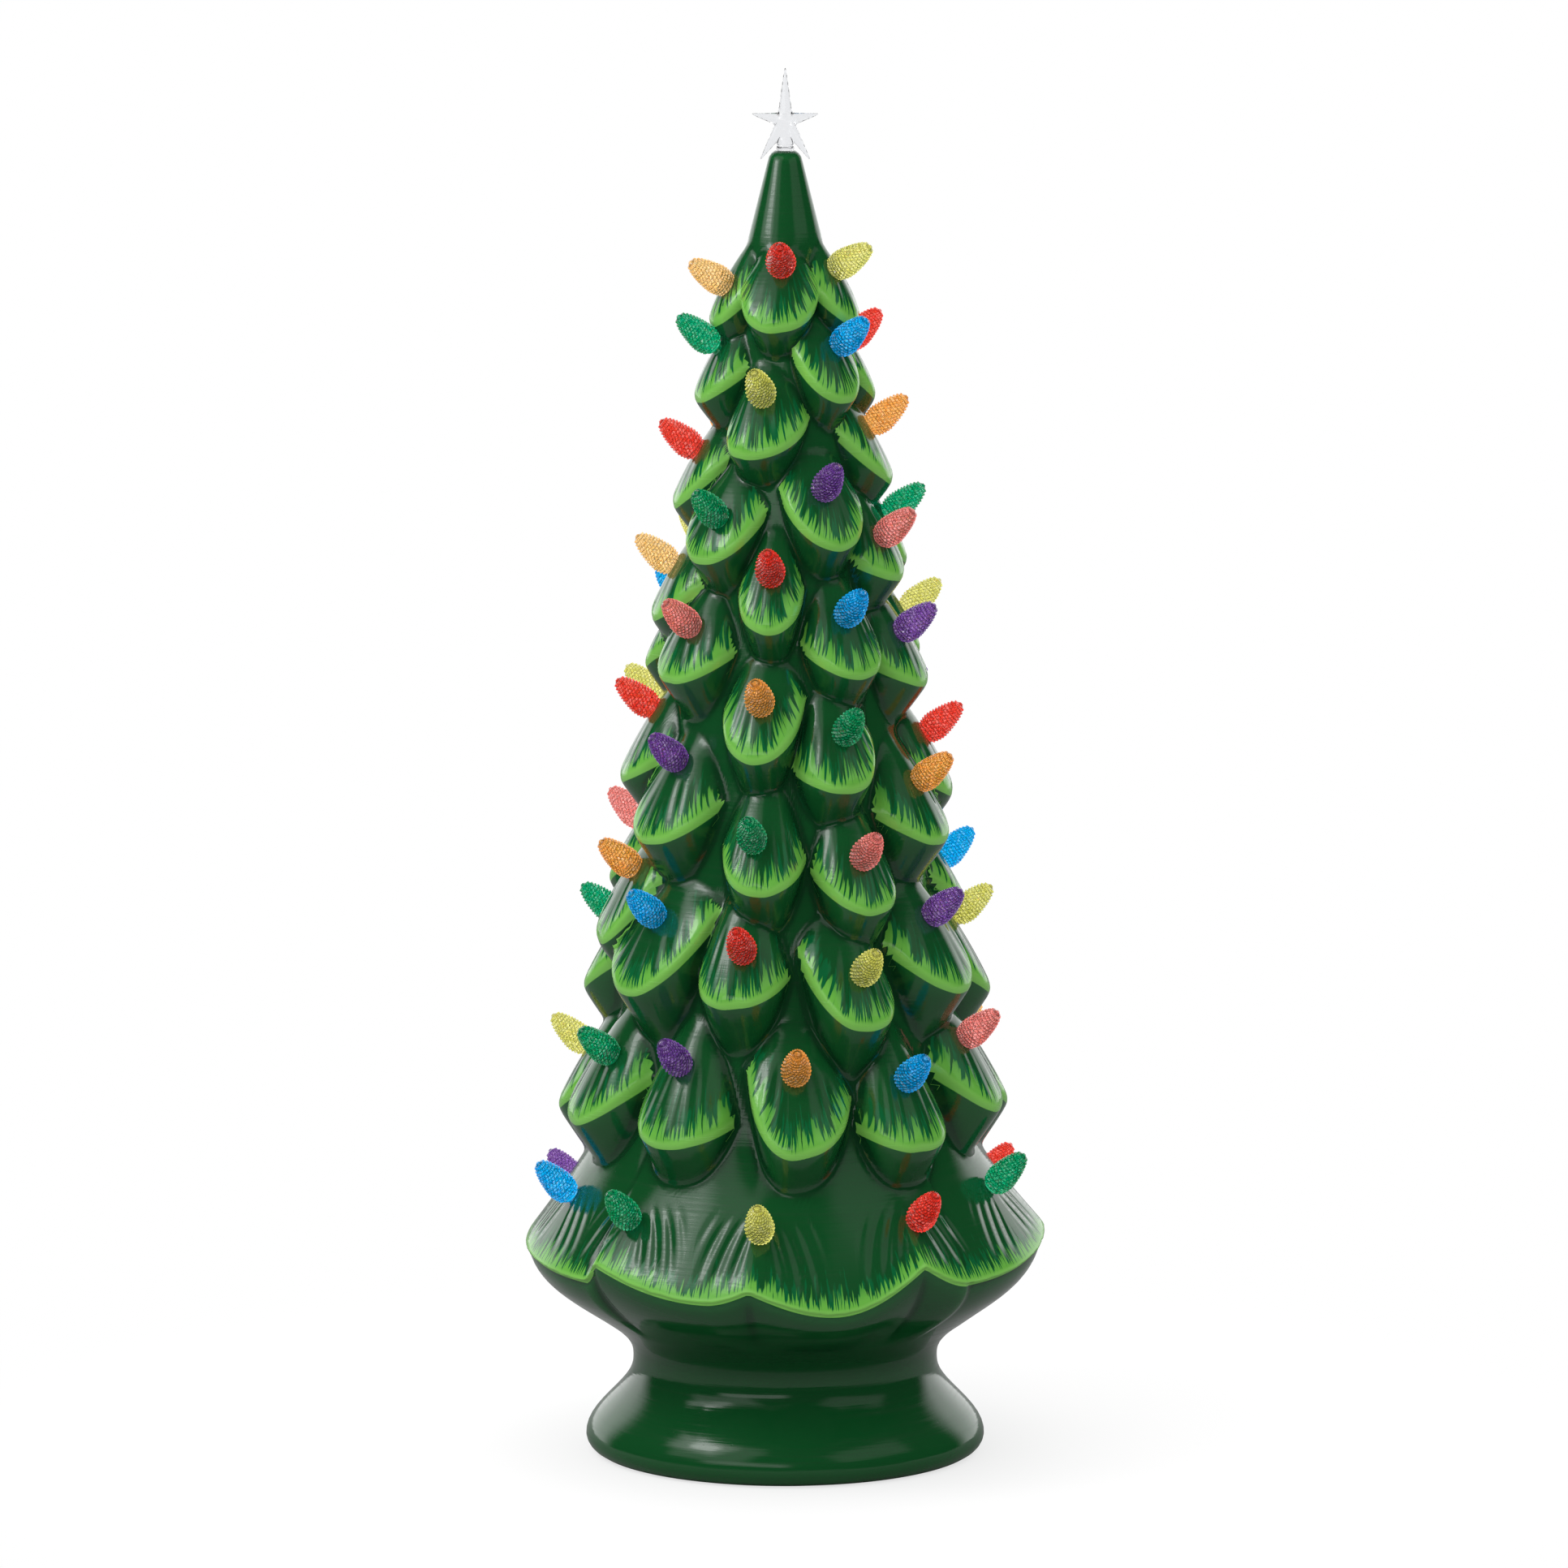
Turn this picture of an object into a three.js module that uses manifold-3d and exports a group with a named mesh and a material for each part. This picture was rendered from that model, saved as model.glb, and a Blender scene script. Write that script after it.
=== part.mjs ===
// A tall tabletop Christmas tree of glazed ceramic that lights up: a hollow shell with rows of scalloped
// branches, a faceted bulb in a drilled hole on each branch, a clear star plugged into the tip, and a
// battery drive with a lamp post in the foot.
// Millimetres, +Z up, the front towards -Y. The origin is the middle of the foot, on the table.
import * as THREE from "three";
import { mergeVertices } from "three/addons/utils/BufferGeometryUtils.js";
import Module from "manifold-3d";

const wasm = await Module();
wasm.setup();

// Ceramic shell
const shellHeight = 574;
const shellWall = 5;
const footRadius = 80;
const baseRadius = 88;
const baseBulgeHeight = 7;
const neckRadius = 67;
const neckHeight = 41;
const neckBand = 3;
const bowlRise = 16;
const skirtRadius = 115.5;
const skirtHeight = 90;
const lipThickness = 5;
const waistRadius = 0.788 * skirtRadius;
const waistHeight = 127;
const waistShoulder = 8;
const coneFootRadius = 0.912 * waistRadius;
const coneTopRadius = 18;
const crownLength = 52;
const tipRadius = 6.2;

// Branches: how far a tip stands out of the cone, how long the branch is from tip to root,
// and how steeply its underside runs back in, each at the foot and at the top of the cone
const footStandout = 23;
const topStandout = 11.5;
const footBranchLength = 52;
const topBranchLength = 33;
const footUndercut = 0.85;
const topUndercut = 0.95;

// Bulbs
const bulbLength = 22;
const bulbRadius = 6.15;
const bulbCollarRadius = 4.2;
const bulbStemRadius = 2.6;
const bulbStemLength = 11;
const crownBulbTilt = 32;
const branchBulbTilt = 40;
const skirtBulbTilt = 46;

// Star
const starAbovePost = 23;
const starArmReach = 14.6;
const starArmRise = 2.8;
const starLegReach = 10.7;
const starLegDrop = 17;
const starWaist = 5.6;
const starThickness = 9;
const starPostRadius = 3.5;
const starPostLength = 13;
const starPinRadius = 2.7;
const starPinLength = 13;

// Foot: the plate sits in a rebate under the base and carries the battery bay
const rebateRadius = 72;
const rebateDepth = 8;
const footOpeningRadius = 61;
const plateThickness = 2.5;
const bayWall = 1.6;
const bayRoof = 2;
const bayCentreY = 10;
const cellCount = 3;
const cellRadius = 7.1;
const cellBodyLength = 49.2;
const cellNubRadius = 2.75;
const cellNubLength = 1;
const cellPitch = 15.2;
const springLength = 4.6;
const springTurns = 2;
const springWireRadius = 0.4;
const contactThickness = 0.4;
const contactHeight = 10;
const contactWidth = 11;
const doorThickness = 2;
const hingePegRadius = 0.9;
const hingeEarRadius = 1.2;

// Switch and timer board
const switchY = -31;
const switchTravel = 2.5;
const knobLength = 3.4;
const knobWidth = 3.2;
const knobProud = 2;
const switchBodyHeight = 3.2;
const switchWall = 0.9;
const carriageThickness = 1;
const boardLength = 34;
const boardWidth = 16;
const boardThickness = 1.6;
const wireRadius = 0.8;
const wireRise = 34;

// Lamp post
const postRadius = 4.5;
const postTopHeight = 440;
const flangeRadius = 13;
const flangeThickness = 3;
const collarRadius = 6.5;
const collarHeight = 2;
const moduleHeights = [130, 270, 400];
const moduleRadius = 10;
const moduleThickness = 3;
const ledRadius = 1.6;
const ledCount = 4;

// Gaps between pieces that touch or slide
const seatGap = 0.3;

// Faces round a turned piece
const shellSides = 36;
const cavitySides = 24;
const bulbSides = 6;
const backBulbSides = 5;
const holeSides = 5;
const smallSides = 10;

const glaze = { color: 0x0f4d26, roughness: 0.12, metalness: 0 };
const bulbColours = {
  red: 0xc41a1c,
  rose: 0xc8555a,
  amber: 0xf0a03c,
  orange: 0xe07a1c,
  yellow: 0xc9cc3c,
  green: 0x0f8a5a,
  blue: 0x1583cf,
  purple: 0x5b3190,
};

// Chart of the branches, from the crown down. Each row: azimuth of the tip in degrees (0 is the front,
// positive to the right), height of the tip, then reach in degrees and rise of the rim on its left and on
// its right, then where the bulb stands: degrees round from the tip and height over it, and its colour.
const chartTop = 522;
const chartFoot = 127;
const chartSkirt = 90;
const branchChart = [
  [-9, 499, 50, 20, 55, 20, 5, 31, "red"],
  [70, 500, 40, 19, 40, 19, -6, 28, "yellow"],
  [142, 499, 40, 19, 40, 19, 22, 28, "green"],
  [-147, 499, 40, 19, 40, 19, -20, 28, "blue"],
  [-76, 499, 40, 19, 40, 19, 8, 22, "amber"],
  [42, 468, 38, 24, 38, 20, 7, 28, "blue"],
  [104, 465, 36, 20, 38, 20, 14, 30, "red"],
  [-162, 464, 42, 20, 42, 20, 0, 28, "purple"],
  [-78, 466, 40, 18, 40, 16, 6, 28, "green"],
  [-24, 445, 25, 11, 46, 16, 8, 30, "yellow"],
  [88, 430, 43, 25, 38, 22, 2, 29, "orange"],
  [148, 428, 38, 22, 38, 22, 0, 28, "rose"],
  [-146, 424, 38, 22, 36, 22, 0, 28, "orange"],
  [-90, 419, 38, 22, 42, 24, 5, 30, "red"],
  [28, 406, 33, 25, 30, 22, -5, 29, "purple"],
  [-44, 399, 32, 22, 32, 23, 5, 24, "green"],
  [102, 393, 26, 18, 30, 20, -10, 27, "green"],
  [66, 390, 22, 9, 28, 16, -5, 23, "rose"],
  [164, 388, 34, 20, 34, 20, 0, 28, "amber"],
  [-136, 378, 34, 20, 32, 20, 0, 28, "yellow"],
  [-88, 370, 34, 18, 36, 19, -2, 28, "amber"],
  [-7, 371, 22, 16, 19, 17, 0, 28, "red"],
  [33, 351, 25, 13, 22, 14, -3, 30, "blue"],
  [-54, 347, 27, 16, 27, 14, 5, 28, "rose"],
  [-108, 346, 26, 14, 26, 16, -14, 34, "blue"],
  [75, 343, 27, 12, 24, 14, -6, 28, "purple"],
  [112, 352, 24, 14, 26, 16, -2, 24, "yellow"],
  [148, 345, 26, 15, 26, 15, 0, 28, "red"],
  [-164, 341, 27, 15, 27, 15, 0, 28, "green"],
  [-11, 316, 21, 20, 22, 26, 1, 28, "orange"],
  [24, 303, 21, 8, 20, 22, 0, 28, "green"],
  [92, 292, 26, 16, 26, 16, -2, 32, "red"],
  [128, 305, 24, 16, 24, 16, 0, 30, "purple"],
  [164, 298, 24, 16, 24, 16, 0, 30, "blue"],
  [-159, 303, 24, 16, 24, 16, 0, 30, "orange"],
  [-122, 306, 24, 16, 24, 16, 8, 31, "yellow"],
  [-88, 299, 26, 16, 26, 16, 0, 36, "red"],
  [-52, 278, 26, 18, 24, 18, 2, 39, "purple"],
  [63, 276, 22, 15, 24, 16, 0, 31, "orange"],
  [-9, 260, 18, 18, 18, 13, -2, 26, "green"],
  [28, 251, 18, 17, 18, 12, -1, 27, "rose"],
  [112, 235, 22, 20, 22, 20, 4, 28, "blue"],
  [147, 256, 20, 18, 20, 18, 0, 30, "yellow"],
  [-179, 246, 20, 18, 20, 18, 0, 30, "red"],
  [-147, 258, 20, 18, 20, 18, 0, 30, "green"],
  [-114, 248, 22, 20, 22, 20, -3, 33, "rose"],
  [-72, 231, 22, 26, 18, 32, 2, 37, "orange"],
  [-51, 213, 24, 30, 26, 38, 2, 37, "blue"],
  [-17, 212, 15, 11, 19, 11, 4, 27, "red"],
  [23, 202, 19, 32, 17, 12, 1, 27, "yellow"],
  [61, 212, 22, 22, 22, 24, -2, 37, "purple"],
  [97, 203, 20, 20, 20, 20, -3, 40, "yellow"],
  [134, 210, 20, 18, 20, 18, 0, 32, "green"],
  [169, 204, 20, 18, 20, 18, 0, 32, "rose"],
  [-153, 212, 20, 18, 20, 18, 0, 32, "purple"],
  [-106, 202, 22, 20, 22, 22, 6, 40, "green"],
  [-100, 150, 18, 22, 18, 22, -4, 32, "yellow"],
  [-68, 153, 18, 22, 20, 23, 6, 35, "green"],
  [-32, 151, 17, 14, 17, 9, 0, 38, "purple"],
  [2, 149, 15, 34, 20, 21, 1, 38, "orange"],
  [36, 149, 14, 8, 18, 10, 0, 33, "blue"],
  [70, 158, 16, 21, 18, 22, -2, 36, "rose"],
  [106, 150, 18, 20, 18, 20, 13, 34, "amber"],
  [142, 152, 18, 20, 18, 20, 0, 34, "red"],
  [178, 150, 18, 20, 18, 20, 0, 34, "blue"],
  [-138, 151, 18, 20, 18, 20, 0, 34, "orange"],
];

// Lip of the skirt, all the way round: azimuth of a lobe's lowest point and its height, then azimuth and
// height of the cusp that parts it from the next lobe.
const skirtLobes = [
  [-18, 87, -8, 92.7],
  [11, 82.5, 32, 100.5],
  [45, 90, 92, 99],
  [118, 88, 140, 96],
  [158, 86, 178, 97],
  [200, 86, 222, 96],
  [240, 88, 262, 94],
  [310, 89.5, 313.5, 98],
];

// Bulbs on the skirt: azimuth, inset from the lip up the slope, and colour
const skirtBulbs = [
  [-118, 22, "purple"],
  [-73, 33, "blue"],
  [-41, 26, "green"],
  [-6, 28, "yellow"],
  [34, 24, "red"],
  [71, 36, "green"],
  [121, 24, "red"],
  [150, 26, "blue"],
  [-178, 24, "yellow"],
  [-148, 27, "orange"],
];

// The bulbs on the side away from the front are one with the shell, those seen from the front are separate
const separateBulbReach = 93;
const skirtSeparateReach = 80;

const radians = THREE.MathUtils.degToRad;
const blend = THREE.MathUtils.lerp;

// Solids and geometries

function solidOf(geometry) {
  const bare = geometry.clone();
  bare.deleteAttribute("normal");
  bare.deleteAttribute("uv");
  const merged = mergeVertices(bare, 1e-3);
  return new wasm.Manifold(
    new wasm.Mesh({
      numProp: 3,
      vertProperties: merged.attributes.position.array,
      triVerts: new Uint32Array(merged.index.array),
    }),
  );
}

function geometryOf(solid) {
  const mesh = solid.getMesh();
  const geometry = new THREE.BufferGeometry();
  geometry.setAttribute("position", new THREE.BufferAttribute(mesh.vertProperties, 3));
  geometry.setIndex(new THREE.BufferAttribute(mesh.triVerts, 1));
  geometry.computeVertexNormals();
  return geometry;
}

function joined(parts) {
  return geometryOf(parts.map(solidOf).reduce((whole, part) => whole.add(part)));
}

function cut(body, tools) {
  const solid = tools.map(solidOf).reduce((rest, tool) => rest.subtract(tool), solidOf(body));
  return geometryOf(solid);
}

// A profile of [radius, height] from the bottom to the top, turned about the Z axis
function turned(profile, sides) {
  const points = profile.map(([radius, height]) => new THREE.Vector2(radius, height));
  const geometry = new THREE.LatheGeometry(points, sides);
  return geometry.rotateX(Math.PI / 2);
}

function box(low, high) {
  const size = high.map((value, axis) => value - low[axis]);
  const middle = high.map((value, axis) => (value + low[axis]) / 2);
  return new THREE.BoxGeometry(...size).translate(...middle);
}

function rod(radius, from, to, sides = smallSides) {
  const start = new THREE.Vector3(...from);
  const end = new THREE.Vector3(...to);
  const geometry = new THREE.CylinderGeometry(radius, radius, start.distanceTo(end), sides);
  const turn = new THREE.Quaternion().setFromUnitVectors(
    new THREE.Vector3(0, 1, 0),
    end.clone().sub(start).normalize(),
  );
  const middle = start.add(end).multiplyScalar(0.5);
  return geometry.applyQuaternion(turn).translate(middle.x, middle.y, middle.z);
}

function tubeAlong(curve, radius, steps, sides) {
  const section = new THREE.Shape().setFromPoints(
    Array.from({ length: sides }, (_, i) => {
      const angle = (i * 2 * Math.PI) / sides;
      return new THREE.Vector2(radius * Math.cos(angle), radius * Math.sin(angle));
    }),
  );
  return new THREE.ExtrudeGeometry(section, { steps, extrudePath: curve });
}

function mesh(name, geometry, look) {
  const made = new THREE.Mesh(geometry, new THREE.MeshStandardMaterial(look));
  made.name = name;
  return made;
}

// A point at a radius and height, at an azimuth counted from the front (-Y) to the right (+X)
function around(radius, azimuth, height) {
  const angle = radians(azimuth);
  return [radius * Math.sin(angle), -radius * Math.cos(angle), height];
}

// Ceramic shell

const crownFootHeight = shellHeight - crownLength;

function coneRadius(height) {
  return THREE.MathUtils.mapLinear(height, waistHeight, crownFootHeight, coneFootRadius, coneTopRadius);
}

// Heights in the chart of the branches are drawn out or pressed together with the cone
const chartScale = (crownFootHeight - waistHeight) / (chartTop - chartFoot);

function heightOnTree(charted) {
  return waistHeight + chartScale * (charted - chartFoot);
}

// Height of the skirt's lip: level at the bottom of each lobe and steepest at the cusps
function lipHeight(azimuth) {
  const stops = skirtLobes.flatMap(([low, lowHeight, cusp, cuspHeight]) => [
    { at: low, height: lowHeight, low: true },
    { at: cusp, height: cuspHeight, low: false },
  ]);
  const first = stops[0].at;
  const from = first + THREE.MathUtils.euclideanModulo(azimuth - first, 360);
  const next = stops.findIndex((stop) => stop.at > from);
  const before = stops.at(next - 1);
  const after = next < 0 ? { ...stops[0], at: first + 360 } : stops[next];
  const start = next < 0 ? stops.at(-1) : before;
  const share = (from - start.at) / (after.at - start.at);
  const fromLow = start.low ? share : 1 - share;
  const low = start.low ? start.height : after.height;
  const cusp = start.low ? after.height : start.height;
  return (skirtHeight / chartSkirt) * blend(low, cusp, 1 - Math.cos((fromLow * Math.PI) / 2));
}

// Outline of the shell without its branches at one azimuth, from the foot to the tip
function shellOutline(azimuth) {
  const lip = lipHeight(azimuth);
  const base = [0.25, 0.5, 0.75].map((share) => [
    blend(neckRadius, baseRadius, 0.5 + 0.5 * Math.cos(Math.PI * share)),
    blend(baseBulgeHeight, neckHeight, share),
  ]);
  const bowl = new THREE.CubicBezierCurve(
    new THREE.Vector2(neckRadius, neckHeight + neckBand),
    new THREE.Vector2(neckRadius, neckHeight + neckBand + bowlRise),
    new THREE.Vector2(skirtRadius - 1.6 * lipThickness, neckHeight + neckBand + 1.5 * bowlRise),
    new THREE.Vector2(skirtRadius - 0.4 * lipThickness, lip - lipThickness),
  );
  const rounded = 0.3 * lipThickness;
  return [
    [0, 0],
    [footRadius, 0],
    [blend(footRadius, baseRadius, 0.75), 0.35 * baseBulgeHeight],
    [baseRadius, baseBulgeHeight],
    ...base,
    ...bowl.getPoints(5).map((point) => [point.x, point.y]),
    [skirtRadius, lip],
    [skirtRadius - rounded, lip + rounded],
    [waistRadius, waistHeight],
    [coneRadius(waistHeight + waistShoulder), waistHeight + waistShoulder],
    [coneTopRadius, crownFootHeight - 0.4 * crownLength],
    [coneTopRadius, crownFootHeight],
    [blend(tipRadius, coneTopRadius, 0.83), blend(shellHeight, crownFootHeight, 0.73)],
    [tipRadius + 1, shellHeight - 2.5],
    [tipRadius, shellHeight],
    [0, shellHeight],
  ];
}

// A closed solid through one outline per azimuth, each from the axis to the axis
function sweptRound(outlineAt, sides) {
  const outlines = Array.from({ length: sides }, (_, i) => {
    const azimuth = (i * 360) / sides;
    return outlineAt(azimuth).map(([radius, height]) => around(radius, azimuth, height));
  });
  const count = outlines[0].length;
  const positions = outlines.flat(2);
  const faces = [];
  for (let i = 0; i < sides; i++) {
    const here = i * count;
    const next = ((i + 1) % sides) * count;
    for (let j = 0; j + 1 < count; j++) {
      if (j > 0) faces.push(here + j, next + j, here + j + 1);
      if (j + 2 < count) faces.push(next + j, next + j + 1, here + j + 1);
    }
  }
  return closedGeometry(positions, faces);
}

function closedGeometry(positions, faces) {
  const geometry = new THREE.BufferGeometry();
  geometry.setAttribute("position", new THREE.Float32BufferAttribute(positions, 3));
  geometry.setIndex(faces);
  return geometry;
}

// Branches

const branchEmbed = 0.8 * shellWall;
const branchSteps = 6;

function branchOf([azimuth, charted, leftReach, leftRise, rightReach, rightRise, turn, over, colour]) {
  const tip = heightOnTree(charted);
  const up = (tip - waistHeight) / (crownFootHeight - waistHeight);
  return {
    azimuth,
    tip,
    reach: { left: leftReach, right: rightReach },
    rise: { left: chartScale * leftRise, right: chartScale * rightRise },
    standout: blend(footStandout, topStandout, up),
    length: blend(footBranchLength, topBranchLength, up),
    undercut: blend(footUndercut, topUndercut, up),
    bulb: { turn, over: chartScale * over, colour },
  };
}

// The branch at a place across it, from -1 at its left end over 0 at its tip to 1 at its right end:
// where its rim and its root are, and how far the rim stands out of the cone
function across(branch, place) {
  const side = place < 0 ? "left" : "right";
  const share = Math.abs(place);
  const rise = branch.rise[side];
  return {
    azimuth: branch.azimuth + place * branch.reach[side],
    rim: branch.tip + rise * share ** 2,
    root: branch.tip + branch.length - (branch.length - rise) * share ** 2,
    out: branch.standout * (1 - share ** 3),
    undercut: branch.undercut,
  };
}

// Radius of the glaze on a slice of a branch: rising evenly from the root to the rim, then running back
// in below the rim
function branchRadius(slice, height) {
  if (height < slice.rim) return coneRadius(height) + slice.out - (slice.rim - height) * slice.undercut;
  return coneRadius(height) + slice.out * (1 - (height - slice.rim) / (slice.root - slice.rim));
}

// Radius of the outside of the shell at any place above the waist
function shellRadius(azimuth, height) {
  const radii = branches.map((branch) => {
    const turn = THREE.MathUtils.euclideanModulo(azimuth - branch.azimuth + 180, 360) - 180;
    const place = turn / (turn < 0 ? branch.reach.left : branch.reach.right);
    if (Math.abs(place) >= 1) return 0;
    const slice = across(branch, place);
    return height > slice.root ? 0 : branchRadius(slice, height);
  });
  return Math.max(coneRadius(height), ...radii);
}

function branchGeometry(branch) {
  const positions = [];
  const columns = [];
  const put = (radius, azimuth, height) => positions.push(...around(radius, azimuth, height));
  for (let i = 0; i <= branchSteps; i++) {
    const slice = across(branch, (2 * i) / branchSteps - 1);
    const start = positions.length / 3;
    if (i === 0 || i === branchSteps) {
      put(coneRadius(slice.rim) - branchEmbed, slice.azimuth, slice.rim);
      columns.push([start]);
      continue;
    }
    const sunkShare = branchEmbed / slice.out;
    const root = blend(slice.rim, slice.root, 1 + sunkShare);
    const under = slice.rim - (slice.out + branchEmbed) / slice.undercut;
    put(coneRadius(root) - branchEmbed, slice.azimuth, root);
    put(coneRadius(slice.rim) + slice.out, slice.azimuth, slice.rim);
    put(coneRadius(under) - branchEmbed, slice.azimuth, under);
    columns.push([start, start + 1, start + 2]);
  }
  return closedGeometry(positions, ringFaces(columns));
}

// Faces between neighbouring closed columns of points; the first and the last column are single points
function ringFaces(columns) {
  const faces = [];
  for (let i = 0; i + 1 < columns.length; i++) {
    const here = columns[i];
    const next = columns[i + 1];
    const count = Math.max(here.length, next.length);
    for (let j = 0; j < count; j++) {
      const k = (j + 1) % count;
      if (here.length === 1) faces.push(here[0], next[k], next[j]);
      else if (next.length === 1) faces.push(here[j], here[k], next[0]);
      else faces.push(here[j], next[k], next[j], here[j], here[k], next[k]);
    }
  }
  return faces;
}

// Bulbs

// The belly is the widest part of the head
const bellyShare = 0.36;
const bulbHead = [
  [bulbCollarRadius, 0],
  [bulbRadius, bellyShare * bulbLength],
  [0.72 * bulbRadius, 0.75 * bulbLength],
  [0, bulbLength],
];

function bulbGeometry() {
  const stem = [
    [0, -bulbStemLength],
    [bulbStemRadius, -bulbStemLength],
    [bulbStemRadius, 0],
  ];
  return turned([...stem, ...bulbHead], bulbSides);
}

// A bulb of the back, one with the shell: its head on a stem that runs into the wall
function backBulbGeometry() {
  const stem = [
    [0, -shellWall],
    [bulbStemRadius, -shellWall],
    [bulbStemRadius, -0.5],
  ];
  return turned([...stem, ...bulbHead], backBulbSides);
}

// The drilled hole, from outside the collar through to the hollow. A drill with few sides still clears
// the round stem.
function drillGeometry() {
  const radius = (bulbStemRadius + seatGap) / Math.cos(Math.PI / holeSides);
  const depth = footStandout + 4 * shellWall;
  return rod(radius, [0, 0, -depth], [0, 0, bulbLength / 2], holeSides);
}

function placedOnShell(geometry, seat) {
  return geometry
    .clone()
    .rotateY(Math.PI / 2 - radians(seat.tilt))
    .rotateZ(radians(seat.azimuth) - Math.PI / 2)
    .translate(...around(seat.radius, seat.azimuth, seat.height));
}

// How far a bulb stands off a place on the shell so that its collar and its belly clear the glaze
function clearOf(seat) {
  const rings = [
    [bulbCollarRadius, 0],
    [bulbRadius, bellyShare * bulbLength],
  ];
  const place = new THREE.Matrix4()
    .makeTranslation(...around(seat.radius, seat.azimuth, seat.height))
    .multiply(new THREE.Matrix4().makeRotationZ(radians(seat.azimuth) - Math.PI / 2))
    .multiply(new THREE.Matrix4().makeRotationY(Math.PI / 2 - radians(seat.tilt)));
  const clear = (lift) =>
    rings.every(([radius, along]) =>
      Array.from({ length: 12 }, (_, i) => (i * Math.PI) / 6).every((angle) => {
        const local = [radius * Math.cos(angle), radius * Math.sin(angle), along + lift];
        const point = new THREE.Vector3(...local).applyMatrix4(place);
        const azimuth = THREE.MathUtils.radToDeg(Math.atan2(point.x, -point.y));
        return Math.hypot(point.x, point.y) > shellRadius(azimuth, point.z) + seatGap;
      }),
    );
  let lift = 0;
  while (!clear(lift) && lift < bulbStemLength / 2) lift += 0.1;
  return lift;
}

// Where the collar of a branch's bulb sits
function branchSeat(branch) {
  const { turn, over, colour } = branch.bulb;
  const reach = turn < 0 ? branch.reach.left : branch.reach.right;
  const tilt = branch.tip + branch.length > crownFootHeight ? crownBulbTilt : branchBulbTilt;
  const height = branch.tip + over - (bulbLength / 2) * Math.sin(radians(tilt));
  const slice = across(branch, turn / reach);
  const seat = { azimuth: slice.azimuth, height, radius: shellRadius(slice.azimuth, height), tilt, colour };
  const separate = Math.abs(slice.azimuth) < separateBulbReach;
  const lift = separate ? clearOf(seat) : 0;
  return {
    ...seat,
    height: height + lift * Math.sin(radians(tilt)),
    radius: seat.radius + lift * Math.cos(radians(tilt)),
    separate,
  };
}

function skirtSeat([azimuth, inset, colour]) {
  const lip = lipHeight(azimuth);
  const share = inset / Math.hypot(skirtRadius - waistRadius, waistHeight - lip);
  return {
    azimuth,
    height: blend(lip, waistHeight, share),
    radius: blend(skirtRadius, waistRadius, share) + 3 * seatGap,
    tilt: skirtBulbTilt,
    colour,
    separate: Math.abs(azimuth) < skirtSeparateReach,
  };
}

const branches = branchChart.map(branchOf);
const seats = [...branches.map(branchSeat), ...skirtBulbs.map(skirtSeat)];

function cavity() {
  const within = (height) => coneRadius(height) - shellWall;
  const pinHole = starPinRadius + seatGap;
  const pinRoom = shellHeight - starPinLength - 2;
  return turned(
    [
      [0, -1],
      [rebateRadius, -1],
      [rebateRadius, rebateDepth],
      [footOpeningRadius, rebateDepth],
      [footOpeningRadius, neckHeight + 1.6 * shellWall],
      [skirtRadius - 3 * shellWall, skirtHeight],
      [within(waistHeight + waistShoulder), waistHeight + waistShoulder],
      [coneTopRadius - shellWall, crownFootHeight - 0.4 * crownLength],
      [coneTopRadius - shellWall, crownFootHeight],
      [pinHole + 0.5, pinRoom],
      [pinHole, pinRoom],
      [pinHole, shellHeight + 1],
      [0, shellHeight + 1],
    ],
    cavitySides,
  );
}

function ceramicShell() {
  const outer = [sweptRound(shellOutline, shellSides), ...branches.map(branchGeometry)];
  const back = seats.filter((seat) => !seat.separate).map((seat) => placedOnShell(backBulbGeometry(), seat));
  const holes = seats.filter((seat) => seat.separate).map((seat) => placedOnShell(drillGeometry(), seat));
  const whole = wasm.Manifold.union([...outer, ...back].map(solidOf));
  return geometryOf(whole.subtract(wasm.Manifold.union([cavity(), ...holes].map(solidOf))));
}

// Star

function star() {
  const centre = shellHeight + starPostLength;
  const outline = [
    [0, starAbovePost],
    [0.75 * starWaist, 0.75 * starWaist],
    [starArmReach, starArmRise],
    [starWaist, -0.45 * starWaist],
    [starLegReach, -starLegDrop],
    [0, -1.1 * starWaist],
    [-starLegReach, -starLegDrop],
    [-starWaist, -0.45 * starWaist],
    [-starArmReach, starArmRise],
    [-0.75 * starWaist, 0.75 * starWaist],
  ];
  const positions = outline.flatMap(([across, up]) => [across, 0, centre + up]);
  positions.push(0, -starThickness / 2, centre, 0, starThickness / 2, centre);
  const front = outline.length;
  const back = front + 1;
  const faces = outline.flatMap((_, i) => {
    const next = (i + 1) % outline.length;
    return [i, front, next, next, back, i];
  });
  const shoulder = shellHeight + seatGap;
  const post = turned(
    [
      [0, shellHeight - starPinLength],
      [starPinRadius, shellHeight - starPinLength],
      [starPinRadius, shoulder],
      [starPostRadius, shoulder],
      [starPostRadius, centre - 0.6 * starWaist],
      [0, centre - 0.6 * starWaist],
    ],
    smallSides,
  );
  return joined([closedGeometry(positions, faces), post]);
}

// Foot

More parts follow.
